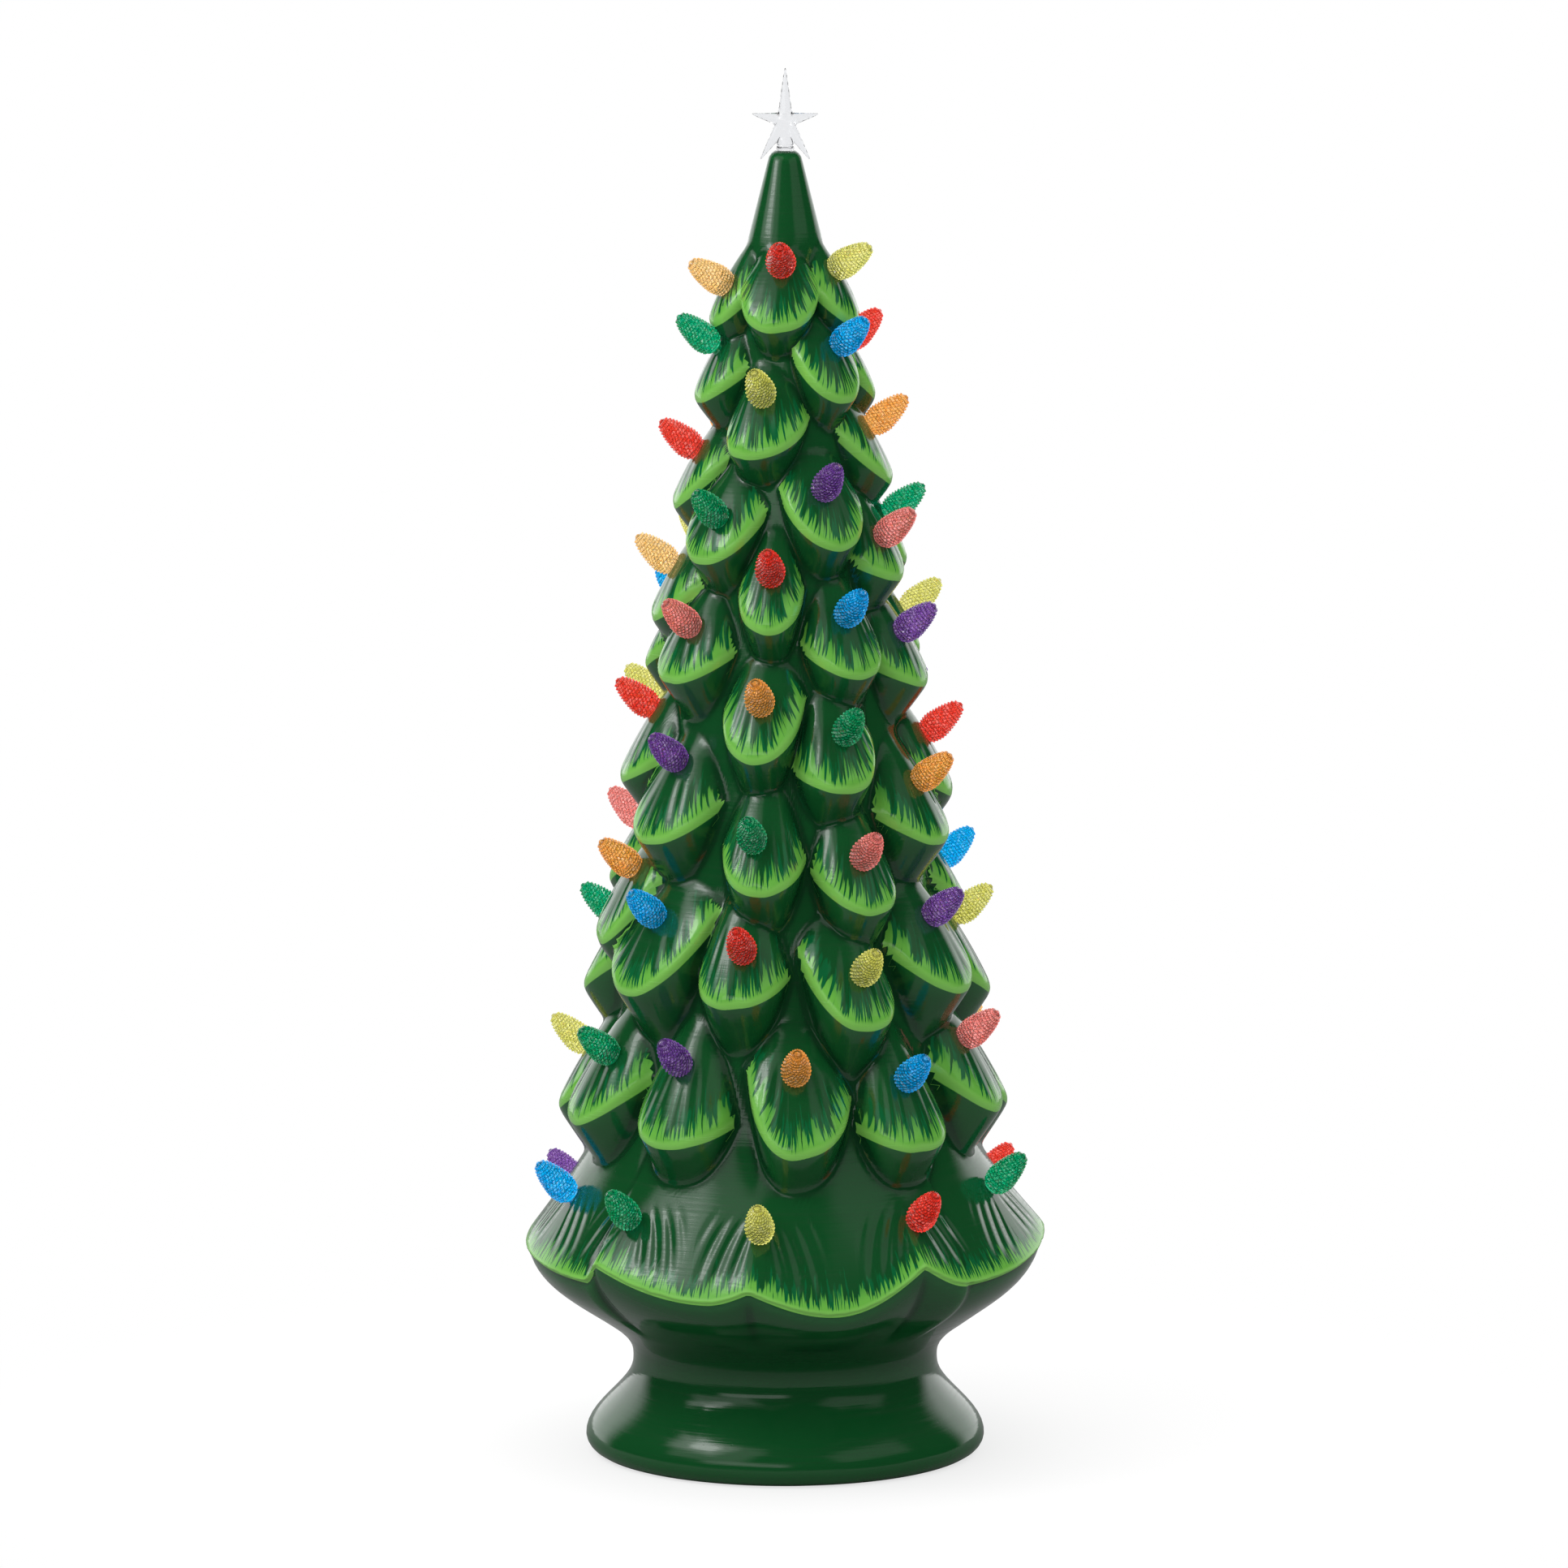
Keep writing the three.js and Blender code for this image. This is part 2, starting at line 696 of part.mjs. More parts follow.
const plateTop = rebateDepth - seatGap;
const plateBottom = plateTop - plateThickness;
const cellLength = cellBodyLength + cellNubLength;
const contactFace = cellLength / 2 + seatGap + springLength / 2;
const bayHalfLength = contactFace + contactThickness + seatGap;
const bayHalfWidth = (cellCount * cellPitch) / 2;
const bayFront = bayCentreY - bayHalfWidth;
const bayBack = bayCentreY + bayHalfWidth;
const doorTop = plateBottom + doorThickness;
const cellAxisHeight = doorTop + 2 * seatGap + cellRadius;
const bayCeiling = cellAxisHeight + cellRadius + seatGap;
const bayTop = bayCeiling + bayRoof;
const hingeHeight = doorTop + 0.7;
const hingeSwing = Math.hypot(hingeEarRadius, hingeHeight - plateBottom) + seatGap;
const hingeY = bayBack - hingeSwing;
const ledgeDepth = 1;
const thumbRadius = 7;

const switchBottom = plateTop + seatGap;
const switchTop = switchBottom + switchBodyHeight;
const boardBottom = switchTop + seatGap;
const carriageLength = knobLength + 1.6;
const carriageWidth = knobWidth + 1.6;
const carriageRoom = switchTravel + seatGap;
const carriageBottom = switchBottom + switchWall + seatGap;
const boardStandX = boardLength / 2 - 3;

function basePlate() {
  const disc = turned(
    [
      [0, plateBottom],
      [rebateRadius - seatGap, plateBottom],
      [rebateRadius - seatGap, plateTop],
      [0, plateTop],
    ],
    cavitySides,
  );
  const bay = box(
    [-bayHalfLength - bayWall, bayFront - bayWall, plateBottom + 0.5],
    [bayHalfLength + bayWall, bayBack + bayWall, bayTop],
  );
  const stands = [-boardStandX, boardStandX].map((x) =>
    rod(2, [x, switchY, plateBottom + 0.5], [x, switchY, boardBottom - seatGap], 8),
  );
  const room = box([-bayHalfLength, bayFront, plateBottom - 1], [bayHalfLength, bayBack, bayCeiling]);
  const ledge = box(
    [-bayHalfLength - 0.5, bayFront - 0.5, doorTop + seatGap],
    [bayHalfLength + 0.5, bayFront + ledgeDepth, doorTop + seatGap + 1],
  );
  const sockets = rod(
    hingePegRadius + seatGap,
    [-bayHalfLength - 0.9 * bayWall, hingeY, hingeHeight],
    [bayHalfLength + 0.9 * bayWall, hingeY, hingeHeight],
    8,
  );
  const slot = box(
    [-knobLength / 2 - carriageRoom, switchY - knobWidth / 2 - seatGap, plateBottom - 1],
    [knobLength / 2 + carriageRoom, switchY + knobWidth / 2 + seatGap, plateTop + 1],
  );
  const thumb = rod(
    thumbRadius,
    [0, bayFront, plateBottom - 1],
    [0, bayFront, plateBottom + 0.5 * plateThickness],
    16,
  );
  const open = cut(joined([disc, bay, ...stands]), [room, slot, thumb]);
  return cut(joined([open, ledge]), [sockets]);
}

function batteryDoor() {
  const halfLength = bayHalfLength - seatGap;
  const panel = box([-halfLength, bayFront + seatGap, plateBottom], [halfLength, hingeY + hingeEarRadius, doorTop]);
  const earThickness = 1.3;
  const ears = [-1, 1].flatMap((side) => {
    const outer = side * halfLength;
    const inner = side * (halfLength - earThickness);
    const peg = side * (bayHalfLength + 0.6 * bayWall);
    return [
      rod(hingeEarRadius, [inner, hingeY, hingeHeight], [outer, hingeY, hingeHeight], 8),
      box(
        [Math.min(inner, outer), hingeY - hingeEarRadius, doorTop - 0.5],
        [Math.max(inner, outer), hingeY + hingeEarRadius, hingeHeight],
      ),
      rod(hingePegRadius, [inner, hingeY, hingeHeight], [peg, hingeY, hingeHeight], 8),
    ];
  });
  return joined([panel, ...ears]);
}

function cell() {
  return turned(
    [
      [0, -cellLength / 2],
      [cellRadius, -cellLength / 2],
      [cellRadius, cellLength / 2 - cellNubLength],
      [cellNubRadius, cellLength / 2 - cellNubLength],
      [cellNubRadius, cellLength / 2],
      [0, cellLength / 2],
    ],
    smallSides,
  ).rotateY(Math.PI / 2);
}

// Cells lie side by side, each the other way round from its neighbour: +1 has its nub towards +X
function cellsInBay() {
  return Array.from({ length: cellCount }, (_, i) => {
    const way = i % 2 === 0 ? 1 : -1;
    return {
      way,
      x: way * (contactFace - seatGap - cellLength / 2),
      y: bayCentreY + (i - (cellCount - 1) / 2) * cellPitch,
    };
  });
}

// A contact strip at one end of the bay, across one cell or two, with a conical spring at each flat end
function contact(side, cells) {
  const low = Math.min(...cells.map((one) => one.y)) - contactWidth / 2;
  const high = Math.max(...cells.map((one) => one.y)) + contactWidth / 2;
  const face = side * contactFace;
  const backFace = face + side * contactThickness;
  const strip = box(
    [Math.min(face, backFace), low, cellAxisHeight - contactHeight / 2],
    [Math.max(face, backFace), high, cellAxisHeight + contactHeight / 2],
  );
  const springs = cells.filter((one) => one.way !== side).map((one) => spring(side, one.y));
  return joined([strip, ...springs]);
}

function spring(side, y) {
  const baseRadius = 3.8;
  const topRadius = 2.4;
  const sunk = springWireRadius * 0.6;
  const reach = springLength - springWireRadius - seatGap;
  const steps = springTurns * 6;
  const points = Array.from({ length: steps + 1 }, (_, i) => {
    const share = i / steps;
    const angle = share * springTurns * 2 * Math.PI;
    const radius = blend(baseRadius, topRadius, share);
    const x = side * (contactFace + sunk - share * (reach + sunk));
    return new THREE.Vector3(x, y + radius * Math.cos(angle), cellAxisHeight + radius * Math.sin(angle));
  });
  return tubeAlong(new THREE.CatmullRomCurve3(points), springWireRadius, steps, 4);
}

function switchBody() {
  const halfLength = carriageLength / 2 + carriageRoom + switchWall;
  const halfWidth = carriageWidth / 2 + seatGap + switchWall;
  const outer = box([-halfLength, switchY - halfWidth, switchBottom], [halfLength, switchY + halfWidth, switchTop]);
  const room = box(
    [-carriageLength / 2 - carriageRoom, switchY - carriageWidth / 2 - seatGap, switchBottom + switchWall],
    [
      carriageLength / 2 + carriageRoom,
      switchY + carriageWidth / 2 + seatGap,
      carriageBottom + carriageThickness + seatGap,
    ],
  );
  const slot = box(
    [-knobLength / 2 - carriageRoom, switchY - knobWidth / 2 - seatGap, switchBottom - 1],
    [knobLength / 2 + carriageRoom, switchY + knobWidth / 2 + seatGap, switchBottom + switchWall + 0.2],
  );
  return cut(outer, [room, slot]);
}

function switchSlider() {
  const carriage = box(
    [-carriageLength / 2, switchY - carriageWidth / 2, carriageBottom],
    [carriageLength / 2, switchY + carriageWidth / 2, carriageBottom + carriageThickness],
  );
  const knob = box(
    [-knobLength / 2, switchY - knobWidth / 2, plateBottom - knobProud],
    [knobLength / 2, switchY + knobWidth / 2, carriageBottom + 0.5],
  );
  const grip = box(
    [-0.35, switchY - knobWidth / 2 - 1, plateBottom - knobProud - 1],
    [0.35, switchY + knobWidth / 2 + 1, plateBottom - knobProud + 0.5],
  );
  return cut(joined([carriage, knob]), [grip]);
}

const boardTop = boardBottom + boardThickness;

function circuitBoard() {
  const half = boardWidth / 2;
  const board = box([-boardLength / 2, switchY - half, boardBottom], [boardLength / 2, switchY + half, boardTop]);
  const chip = box([-3, switchY - 2.5, boardTop - 0.5], [3, switchY + 2.5, boardTop + 1.6]);
  const capacitor = rod(2.4, [9, switchY - 2, boardTop - 0.5], [9, switchY - 2, boardTop + 5.5]);
  const crystal = box([-11, switchY - 1.2, boardTop - 0.5], [-6, switchY + 1.2, boardTop + 2]);
  const screwHoles = [-boardStandX, boardStandX].map((x) =>
    rod(1.1, [x, switchY, boardBottom - 1], [x, switchY, boardTop + 1], 6),
  );
  return cut(joined([board, chip, capacitor, crystal]), screwHoles);
}

// Lamp post

const postFoot = bayTop + seatGap;

function lampPost() {
  const collars = moduleHeights.flatMap((height) => [
    [postRadius, height - collarHeight],
    [collarRadius, height - collarHeight],
    [collarRadius, height],
    [postRadius, height],
  ]);
  return turned(
    [
      [0, postFoot],
      [flangeRadius, postFoot],
      [flangeRadius, postFoot + flangeThickness],
      [postRadius + 2, postFoot + flangeThickness],
      [postRadius, postFoot + flangeThickness + 6],
      ...collars,
      [postRadius, postTopHeight],
      [0, postTopHeight + 0.5 * postRadius],
    ],
    smallSides,
  );
}

function ledModule(height) {
  const bottom = height + seatGap;
  const bore = postRadius + seatGap;
  const ring = turned(
    [
      [bore, bottom],
      [moduleRadius, bottom],
      [moduleRadius, bottom + moduleThickness],
      [bore, bottom + moduleThickness],
      [bore, bottom],
    ],
    smallSides,
  );
  const middle = bottom + moduleThickness / 2;
  const leds = Array.from({ length: ledCount }, (_, i) => {
    const azimuth = (i * 360) / ledCount;
    const inner = around(moduleRadius - 1, azimuth, middle);
    return rod(0.85 * ledRadius, inner, around(moduleRadius + 2 * ledRadius, azimuth, middle), 5);
  });
  return joined([ring, ...leds]);
}

// A wire from the board over the front wall of the bay to the foot of the post
function supplyWire(side) {
  const curve = new THREE.CatmullRomCurve3([
    new THREE.Vector3(side * 5, switchY + 5, boardTop + seatGap),
    new THREE.Vector3(side * 5, switchY + 5, boardTop + 0.24 * wireRise),
    new THREE.Vector3(side * 4.5, bayFront - 4, bayTop + 0.26 * wireRise),
    new THREE.Vector3(side * 3, -postRadius - 6, bayTop + 0.6 * wireRise),
    new THREE.Vector3(side * 1.6, -postRadius - wireRadius - 0.6, bayTop + wireRise),
  ]);
  return tubeAlong(curve, wireRadius, 10, 5);
}

// The whole tree

const clearPlastic = { roughness: 0.08, metalness: 0, transparent: true, opacity: 0.75 };
const blackPlastic = { color: 0x1b1c1d, roughness: 0.5, metalness: 0 };
const whitePlastic = { color: 0xe9e7df, roughness: 0.45, metalness: 0 };
const plated = { color: 0xc9c6bd, roughness: 0.25, metalness: 0.9 };

const tree = new THREE.Group();
tree.add(mesh("ceramic_shell", ceramicShell(), glaze));
tree.add(mesh("star_topper", star(), { ...clearPlastic, color: 0xf4f8fb }));
tree.add(mesh("base_plate", basePlate(), blackPlastic));
tree.add(mesh("battery_door", batteryDoor(), blackPlastic));
tree.add(mesh("switch_body", switchBody(), plated));
tree.add(mesh("switch_slider", switchSlider(), { ...whitePlastic }));
tree.add(mesh("circuit_board", circuitBoard(), { color: 0x1f5a3a, roughness: 0.4, metalness: 0 }));
tree.add(mesh("lamp_post", lampPost(), whitePlastic));

["lower", "middle", "upper"].forEach((place, i) => {
  tree.add(mesh(`led_module_${place}`, ledModule(moduleHeights[i]), whitePlastic));
});

const cells = cellsInBay();
cells.forEach((one, i) => {
  const made = mesh(`battery_cell_${i + 1}`, cell(), { color: 0xb87333, roughness: 0.3, metalness: 0.6 });
  made.rotation.z = one.way > 0 ? 0 : Math.PI;
  made.position.set(one.x, one.y, cellAxisHeight);
  tree.add(made);
});
tree.add(mesh("contact_negative", contact(-1, [cells[0]]), plated));
tree.add(mesh("contact_bridge_left", contact(-1, [cells[1], cells[2]]), plated));
tree.add(mesh("contact_bridge_right", contact(1, [cells[0], cells[1]]), plated));
tree.add(mesh("contact_positive", contact(1, [cells[2]]), plated));
tree.add(mesh("wire_red", supplyWire(1), { color: 0xb01818, roughness: 0.5, metalness: 0 }));
tree.add(mesh("wire_black", supplyWire(-1), { color: 0x151515, roughness: 0.5, metalness: 0 }));

const bulb = bulbGeometry();
seats
  .filter((seat) => seat.separate)
  .forEach((seat, i) => {
    const made = mesh(`bulb_${String(i + 1).padStart(2, "0")}_${seat.colour}`, bulb, {
      ...clearPlastic,
      color: bulbColours[seat.colour],
    });
    const tilted = new THREE.Group();
    made.rotation.y = Math.PI / 2 - radians(seat.tilt);
    tilted.rotation.z = radians(seat.azimuth) - Math.PI / 2;
    tilted.position.set(...around(seat.radius, seat.azimuth, seat.height));
    tilted.add(made);
    tree.add(tilted);
  });

export default tree;
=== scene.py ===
import math

import bmesh
import bpy
import numpy as np
from mathutils import Matrix, Vector


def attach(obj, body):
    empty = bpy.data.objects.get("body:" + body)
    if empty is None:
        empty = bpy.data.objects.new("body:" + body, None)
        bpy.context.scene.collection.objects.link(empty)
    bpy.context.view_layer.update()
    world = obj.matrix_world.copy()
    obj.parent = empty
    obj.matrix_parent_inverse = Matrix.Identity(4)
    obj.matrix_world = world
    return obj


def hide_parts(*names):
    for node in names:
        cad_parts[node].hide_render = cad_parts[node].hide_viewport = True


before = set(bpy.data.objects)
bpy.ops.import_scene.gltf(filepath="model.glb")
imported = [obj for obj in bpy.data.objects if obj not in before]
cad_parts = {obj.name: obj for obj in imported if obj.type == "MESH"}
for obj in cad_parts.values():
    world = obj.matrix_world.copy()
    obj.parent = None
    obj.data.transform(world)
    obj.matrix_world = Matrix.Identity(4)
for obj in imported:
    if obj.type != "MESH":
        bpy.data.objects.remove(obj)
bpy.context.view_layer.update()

scene = bpy.context.scene
print("frame loaded:", len(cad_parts), "nodes")


def objectFrom(name, data):
    made = bpy.data.objects.new(name, data)
    scene.collection.objects.link(made)
    return made


# Camera
camera = {
    "distance": 4.5,  # metres in front of the tree's axis
    "height": 1.0,
    "side": -0.0005,
    "lookDown": 8.891,  # degrees below level
    "lens": 239.05,
}


def makeCamera():
    data = bpy.data.cameras.new("camera")
    data.lens = camera["lens"]
    data.sensor_width = 36
    data.clip_end = 60
    made = objectFrom("camera", data)
    made.location = (camera["side"], -camera["distance"], camera["height"])
    made.rotation_euler = (math.radians(90 - camera["lookDown"]), 0, 0)
    scene.camera = made


makeCamera()
scene.view_settings.view_transform = "Standard"


# Shader maths as plain expressions
class Wire:
    def __init__(self, build, socket):
        self.build = build
        self.socket = socket

    def math(self, operation, *others):
        return self.build.math(operation, self, *others)

    def __add__(self, other):
        return self.math("ADD", other)

    def __radd__(self, other):
        return self.build.math("ADD", other, self)

    def __sub__(self, other):
        return self.math("SUBTRACT", other)

    def __rsub__(self, other):
        return self.build.math("SUBTRACT", other, self)

    def __mul__(self, other):
        return self.math("MULTIPLY", other)

    def __rmul__(self, other):
        return self.build.math("MULTIPLY", other, self)

    def __truediv__(self, other):
        return self.math("DIVIDE", other)

    def __pow__(self, other):
        return self.math("POWER", other)


class Shader:
    def __init__(self, tree):
        self.tree = tree
        self.tree.nodes.clear()

    def node(self, kind, inputs=None, **settings):
        made = self.tree.nodes.new(kind)
        for name, value in settings.items():
            setattr(made, name, value)
        for key, value in (inputs or {}).items():
            self.plug(made.inputs[key], value)
        return made

    def plug(self, socket, value):
        if isinstance(value, Wire):
            value = value.socket
        if isinstance(value, bpy.types.NodeSocket):
            self.tree.links.new(value, socket)
        else:
            socket.default_value = value

    def math(self, operation, *values):
        made = self.tree.nodes.new("ShaderNodeMath")
        made.operation = operation
        for i, value in enumerate(values):
            self.plug(made.inputs[i], value)
        return Wire(self, made.outputs[0])

    def attribute(self, name):
        return Wire(self, self.node("ShaderNodeAttribute", attribute_name=name).outputs["Fac"])

    def place(self):
        return self.node("ShaderNodeTexCoord").outputs["Object"]

    def vector(self, x, y, z):
        return self.node("ShaderNodeCombineXYZ", {0: x, 1: y, 2: z}).outputs[0]

    def parts(self, vector):
        return [Wire(self, output) for output in self.node("ShaderNodeSeparateXYZ", {0: vector}).outputs]

    def stretched(self, vector, scale):
        return self.node("ShaderNodeVectorMath", {0: vector, 1: scale}, operation="MULTIPLY").outputs[0]

    def noise(self, vector, scale, detail=2.0, roughness=0.5):
        inputs = {"Vector": vector, "Scale": scale, "Detail": detail, "Roughness": roughness}
        return Wire(self, self.node("ShaderNodeTexNoise", inputs).outputs[0])

    def step(self, value, low, high):
        inputs = {"Value": value, "From Min": low, "From Max": high}
        made = self.node("ShaderNodeMapRange", inputs, interpolation_type="SMOOTHSTEP")
        return Wire(self, made.outputs[0])

    def mix(self, share, first, second):
        made = self.node("ShaderNodeMix", {0: share, 6: first, 7: second}, data_type="RGBA")
        return made.outputs[2]

    def bump(self, height, distance, strength=1.0):
        inputs = {"Height": height, "Distance": distance, "Strength": strength}
        return self.node("ShaderNodeBump", inputs).outputs[0]


def material(name):
    made = bpy.data.materials.new(name)
    made.use_nodes = True
    return made, Shader(made.node_tree)


def finishWith(shader, inputs):
    surface = shader.node("ShaderNodeBsdfPrincipled", inputs)
    shader.node("ShaderNodeOutputMaterial", {"Surface": surface.outputs[0]})


def linear(red, green, blue):
    def one(value):
        value /= 255
        return value / 12.92 if value <= 0.04045 else ((value + 0.055) / 1.055) ** 2.4
    return (one(red), one(green), one(blue), 1.0)


def tinted(colour, share, power=1.0):
    return tuple(share * c ** power for c in colour[:3]) + (1.0,)


def grey(value):
    return (value, value, value, 1)


# Meshes
def meshFrom(name, form):
    mesh = bpy.data.meshes.new(name)
    form.to_mesh(mesh)
    form.free()
    return mesh


def spun(form, points, steps, closed=False):
    chain = [form.verts.new(point) for point in points]
    edges = [form.edges.new(pair) for pair in zip(chain, chain[1:])]
    if closed:
        edges.append(form.edges.new((chain[-1], chain[0])))
    bmesh.ops.spin(form, geom=chain + edges, cent=(0, 0, 0), axis=(0, 0, 1), angle=2 * math.pi,
                   steps=steps, use_merge=True)


# Shell shape
shell = {
    "height": 574.0,  # millimetres throughout this block
    "footRadius": 80.0,
    "baseRadius": 87.8,
    "baseBulge": 7.0,
    "baseCurve": 1.06,
    "neckRadius": 66.9,
    "neckHeight": 41.0,
    "bowlRise": (2.0, 19.0, 27.0),  # of the first three points of the bowl's curve over the neck
    "bowlTop": 86.0,  # stretched to each azimuth's lip
    "bowlSplit": 60.0,  # over this height the bowl follows the lip up and down
    "lipThickness": 3.2,
    "lobeStep": 1.6,  # how far the front lobes stand over the ones at the sides
    "skirtRadius": 115.2,
    "skirtSwell": 0.8,
    "skirtCurve": 0.92,
    "skirtRoll": (1.5, 1.8),  # how far the lip's edge turns in, and over what height
    "waistRadius": 91.0,
    "waistHeight": 127.0,
    "waistHollow": 8.0,  # how wide the skirt runs into the cone
    "coneFootRadius": 83.0,
    "coneTopRadius": 18.0,
    "crownFoot": 522.0,
    "crownCollar": 20.0,
    "crownBend": (16.0, 536.0),
    "crownTop": (7.2, 571.0),
    "tipRadius": 6.2,
    "tipRound": (1.8, 4.0),
    "rebateRadius": 72.0,
    "rebateDepth": 8.0,
    "openingRadius": 61.0,
    "pinHole": 3.0,
    "wall": 5.0,
    "columns": 384,
    "outerRows": 234,
    "samples": 1149,  # heights at which each column is measured before its rows are laid
    "rowShare": (0.35, 3.2),  # how much length and how much turning draw rows to a place
}

branches = {
    "footStandout": 23.0,
    "topStandout": 11.5,
    "footLength": 52.0,
    "topLength": 33.0,
    "footUndercut": 0.85,
    "topUndercut": 0.95,
    "lipStep": 0.4,  # how far the painted rim stands over the face below it
    "dive": 0.9,  # how steeply a branch's surface falls away past its edges
    "margin": 10.0,  # how far past its edges it is still worked out
    "lift": 0.5,  # of the whole branch over the cone
    "waves": ((0.4, 8.0, 1.0), (0.2, 15.0, 2.3)),  # height, number and seed of the rim's waves
    "nose": (0.7, 0.12),  # ridge down the middle, its height and its share of the width
    "flutes": 3.6,  # on each side of the middle
    "paintDepth": 6,  # how far below the rim the paint may run
    "rimRoll": 1.5,  # how far the rim turns in, over these lengths above and below it
    "rollOver": 1.9,
    "rollUnder": 1.3,
    "strokeShift": 13.0,  # gives each branch brush strokes of its own
    "puff": 1.6,  # how far the top of a branch swells over a straight slope
    "footFluteDepth": 0.75,
    "topFluteDepth": 0.4,
    "footFillet": 4.0,
    "topFillet": 2.2,
}

# Azimuth of the tip, its height, reach and rise on its left and on its right,
# where the bulb stands from the tip, round and up, and its colour
branchChart = [
    [-9, 499, 50, 20, 55, 20, 5, 31, "red"],
    [70, 500, 40, 19, 40, 19, -6, 28, "yellow"],
    [142, 499, 40, 19, 40, 19, 22, 28, "green"],
    [-147, 499, 40, 19, 40, 19, -20, 28, "blue"],
    [-76, 499, 40, 19, 40, 19, 8, 22, "amber"],
    [42, 468, 38, 24, 38, 20, 7, 28, "blue"],
    [104, 465, 36, 20, 38, 20, 14, 30, "red"],
    [-162, 464, 42, 20, 42, 20, 0, 28, "purple"],
    [-78, 466, 40, 18, 40, 16, 6, 28, "green"],
    [-24, 445, 25, 11, 46, 16, 8, 30, "yellow"],
    [88, 430, 43, 25, 38, 22, 2, 29, "orange"],
    [148, 428, 38, 22, 38, 22, 0, 28, "rose"],
    [-146, 424, 38, 22, 36, 22, 0, 28, "orange"],
    [-90, 419, 38, 22, 42, 24, 5, 30, "red"],
    [28, 406, 33, 25, 30, 22, -5, 29, "purple"],
    [-44, 399, 32, 22, 32, 23, 5, 24, "green"],
    [102, 393, 26, 18, 30, 20, -10, 27, "green"],
    [66, 390, 22, 9, 28, 16, -5, 23, "rose"],
    [164, 388, 34, 20, 34, 20, 0, 28, "amber"],
    [-136, 378, 34, 20, 32, 20, 0, 28, "yellow"],
    [-88, 370, 34, 18, 36, 19, -2, 28, "amber"],
    [-7, 371, 22, 16, 19, 17, 0, 28, "red"],
    [33, 351, 25, 13, 22, 14, -3, 30, "blue"],
    [-54, 347, 27, 16, 27, 14, 5, 28, "rose"],
    [-108, 346, 26, 14, 26, 16, -14, 34, "blue"],
    [75, 343, 27, 12, 24, 14, -6, 28, "purple"],
    [112, 352, 24, 14, 26, 16, -2, 24, "yellow"],
    [148, 345, 26, 15, 26, 15, 0, 28, "red"],
    [-164, 341, 27, 15, 27, 15, 0, 28, "green"],
    [-11, 316, 21, 20, 22, 26, 1, 28, "orange"],
    [24, 303, 21, 8, 20, 22, 0, 28, "green"],
    [92, 292, 26, 16, 26, 16, -2, 32, "red"],
    [128, 305, 24, 16, 24, 16, 0, 30, "purple"],
    [164, 298, 24, 16, 24, 16, 0, 30, "blue"],
    [-159, 303, 24, 16, 24, 16, 0, 30, "orange"],
    [-122, 306, 24, 16, 24, 16, 8, 31, "yellow"],
    [-88, 299, 26, 16, 26, 16, 0, 36, "red"],
    [-52, 278, 26, 18, 24, 18, 2, 39, "purple"],
    [63, 276, 22, 15, 24, 16, 0, 31, "orange"],
    [-9, 260, 18, 18, 18, 13, -2, 26, "green"],
    [28, 251, 18, 17, 18, 12, -1, 27, "rose"],
    [112, 235, 22, 20, 22, 20, 4, 28, "blue"],
    [147, 256, 20, 18, 20, 18, 0, 30, "yellow"],
    [-179, 246, 20, 18, 20, 18, 0, 30, "red"],
    [-147, 258, 20, 18, 20, 18, 0, 30, "green"],
    [-114, 248, 22, 20, 22, 20, -3, 33, "rose"],
    [-72, 231, 22, 26, 18, 32, 2, 37, "orange"],
    [-51, 213, 24, 30, 26, 38, 2, 37, "blue"],
    [-17, 212, 15, 11, 19, 11, 4, 27, "red"],
    [23, 202, 19, 32, 17, 12, 1, 27, "yellow"],
    [61, 212, 22, 22, 22, 24, -2, 37, "purple"],
    [97, 203, 20, 20, 20, 20, -3, 40, "yellow"],
    [134, 210, 20, 18, 20, 18, 0, 32, "green"],
    [169, 204, 20, 18, 20, 18, 0, 32, "rose"],
    [-153, 212, 20, 18, 20, 18, 0, 32, "purple"],
    [-106, 202, 22, 20, 22, 22, 6, 40, "green"],
    [-100, 150, 18, 22, 18, 22, -4, 32, "yellow"],
    [-68, 153, 18, 22, 20, 23, 6, 35, "green"],
    [-32, 151, 17, 14, 17, 9, 0, 38, "purple"],
    [2, 149, 15, 34, 20, 21, 1, 38, "orange"],
    [36, 149, 14, 8, 18, 10, 0, 33, "blue"],
    [70, 158, 16, 21, 18, 22, -2, 36, "rose"],
    [106, 150, 18, 20, 18, 20, 13, 34, "amber"],
    [142, 152, 18, 20, 18, 20, 0, 34, "red"],
    [178, 150, 18, 20, 18, 20, 0, 34, "blue"],
    [-138, 151, 18, 20, 18, 20, 0, 34, "orange"],
]

# The skirt's lip: azimuth and height of each low point, then of the cusp after it
skirtLobes = [
    [-18, 87, -8, 92.7],
    [11, 82.5, 32, 100.5],
    [45, 90, 92, 99],
    [118, 88, 140, 96],
    [158, 86, 178, 97],
    [200, 86, 222, 96],
    [240, 88, 262, 94],
    [310, 89.5, 313.5, 98],
]
# Azimuth of each bulb on the skirt, how far up the slope from the lip, and its colour
skirtBulbs = [
    [-118, 22, "purple"],
    [-73, 33, "blue"],
    [-41, 26, "green"],
    [-6, 28, "yellow"],
    [34, 24, "red"],
    [71, 36, "green"],
    [121, 24, "red"],
    [150, 26, "blue"],
    [-178, 24, "yellow"],
    [-148, 27, "orange"],
]

skirtMarking = {
    "slope": 1.35,  # length down the skirt's slope for each millimetre of height
    "stroke": 2.0,  # place along the lip for each degree
    "paintBand": (6, 26),  # below and above the lip
    "fluteWidth": 4.2,  # degrees
    "fluteCurve": 1.9,
    "fluteDepth": 0.9,
}


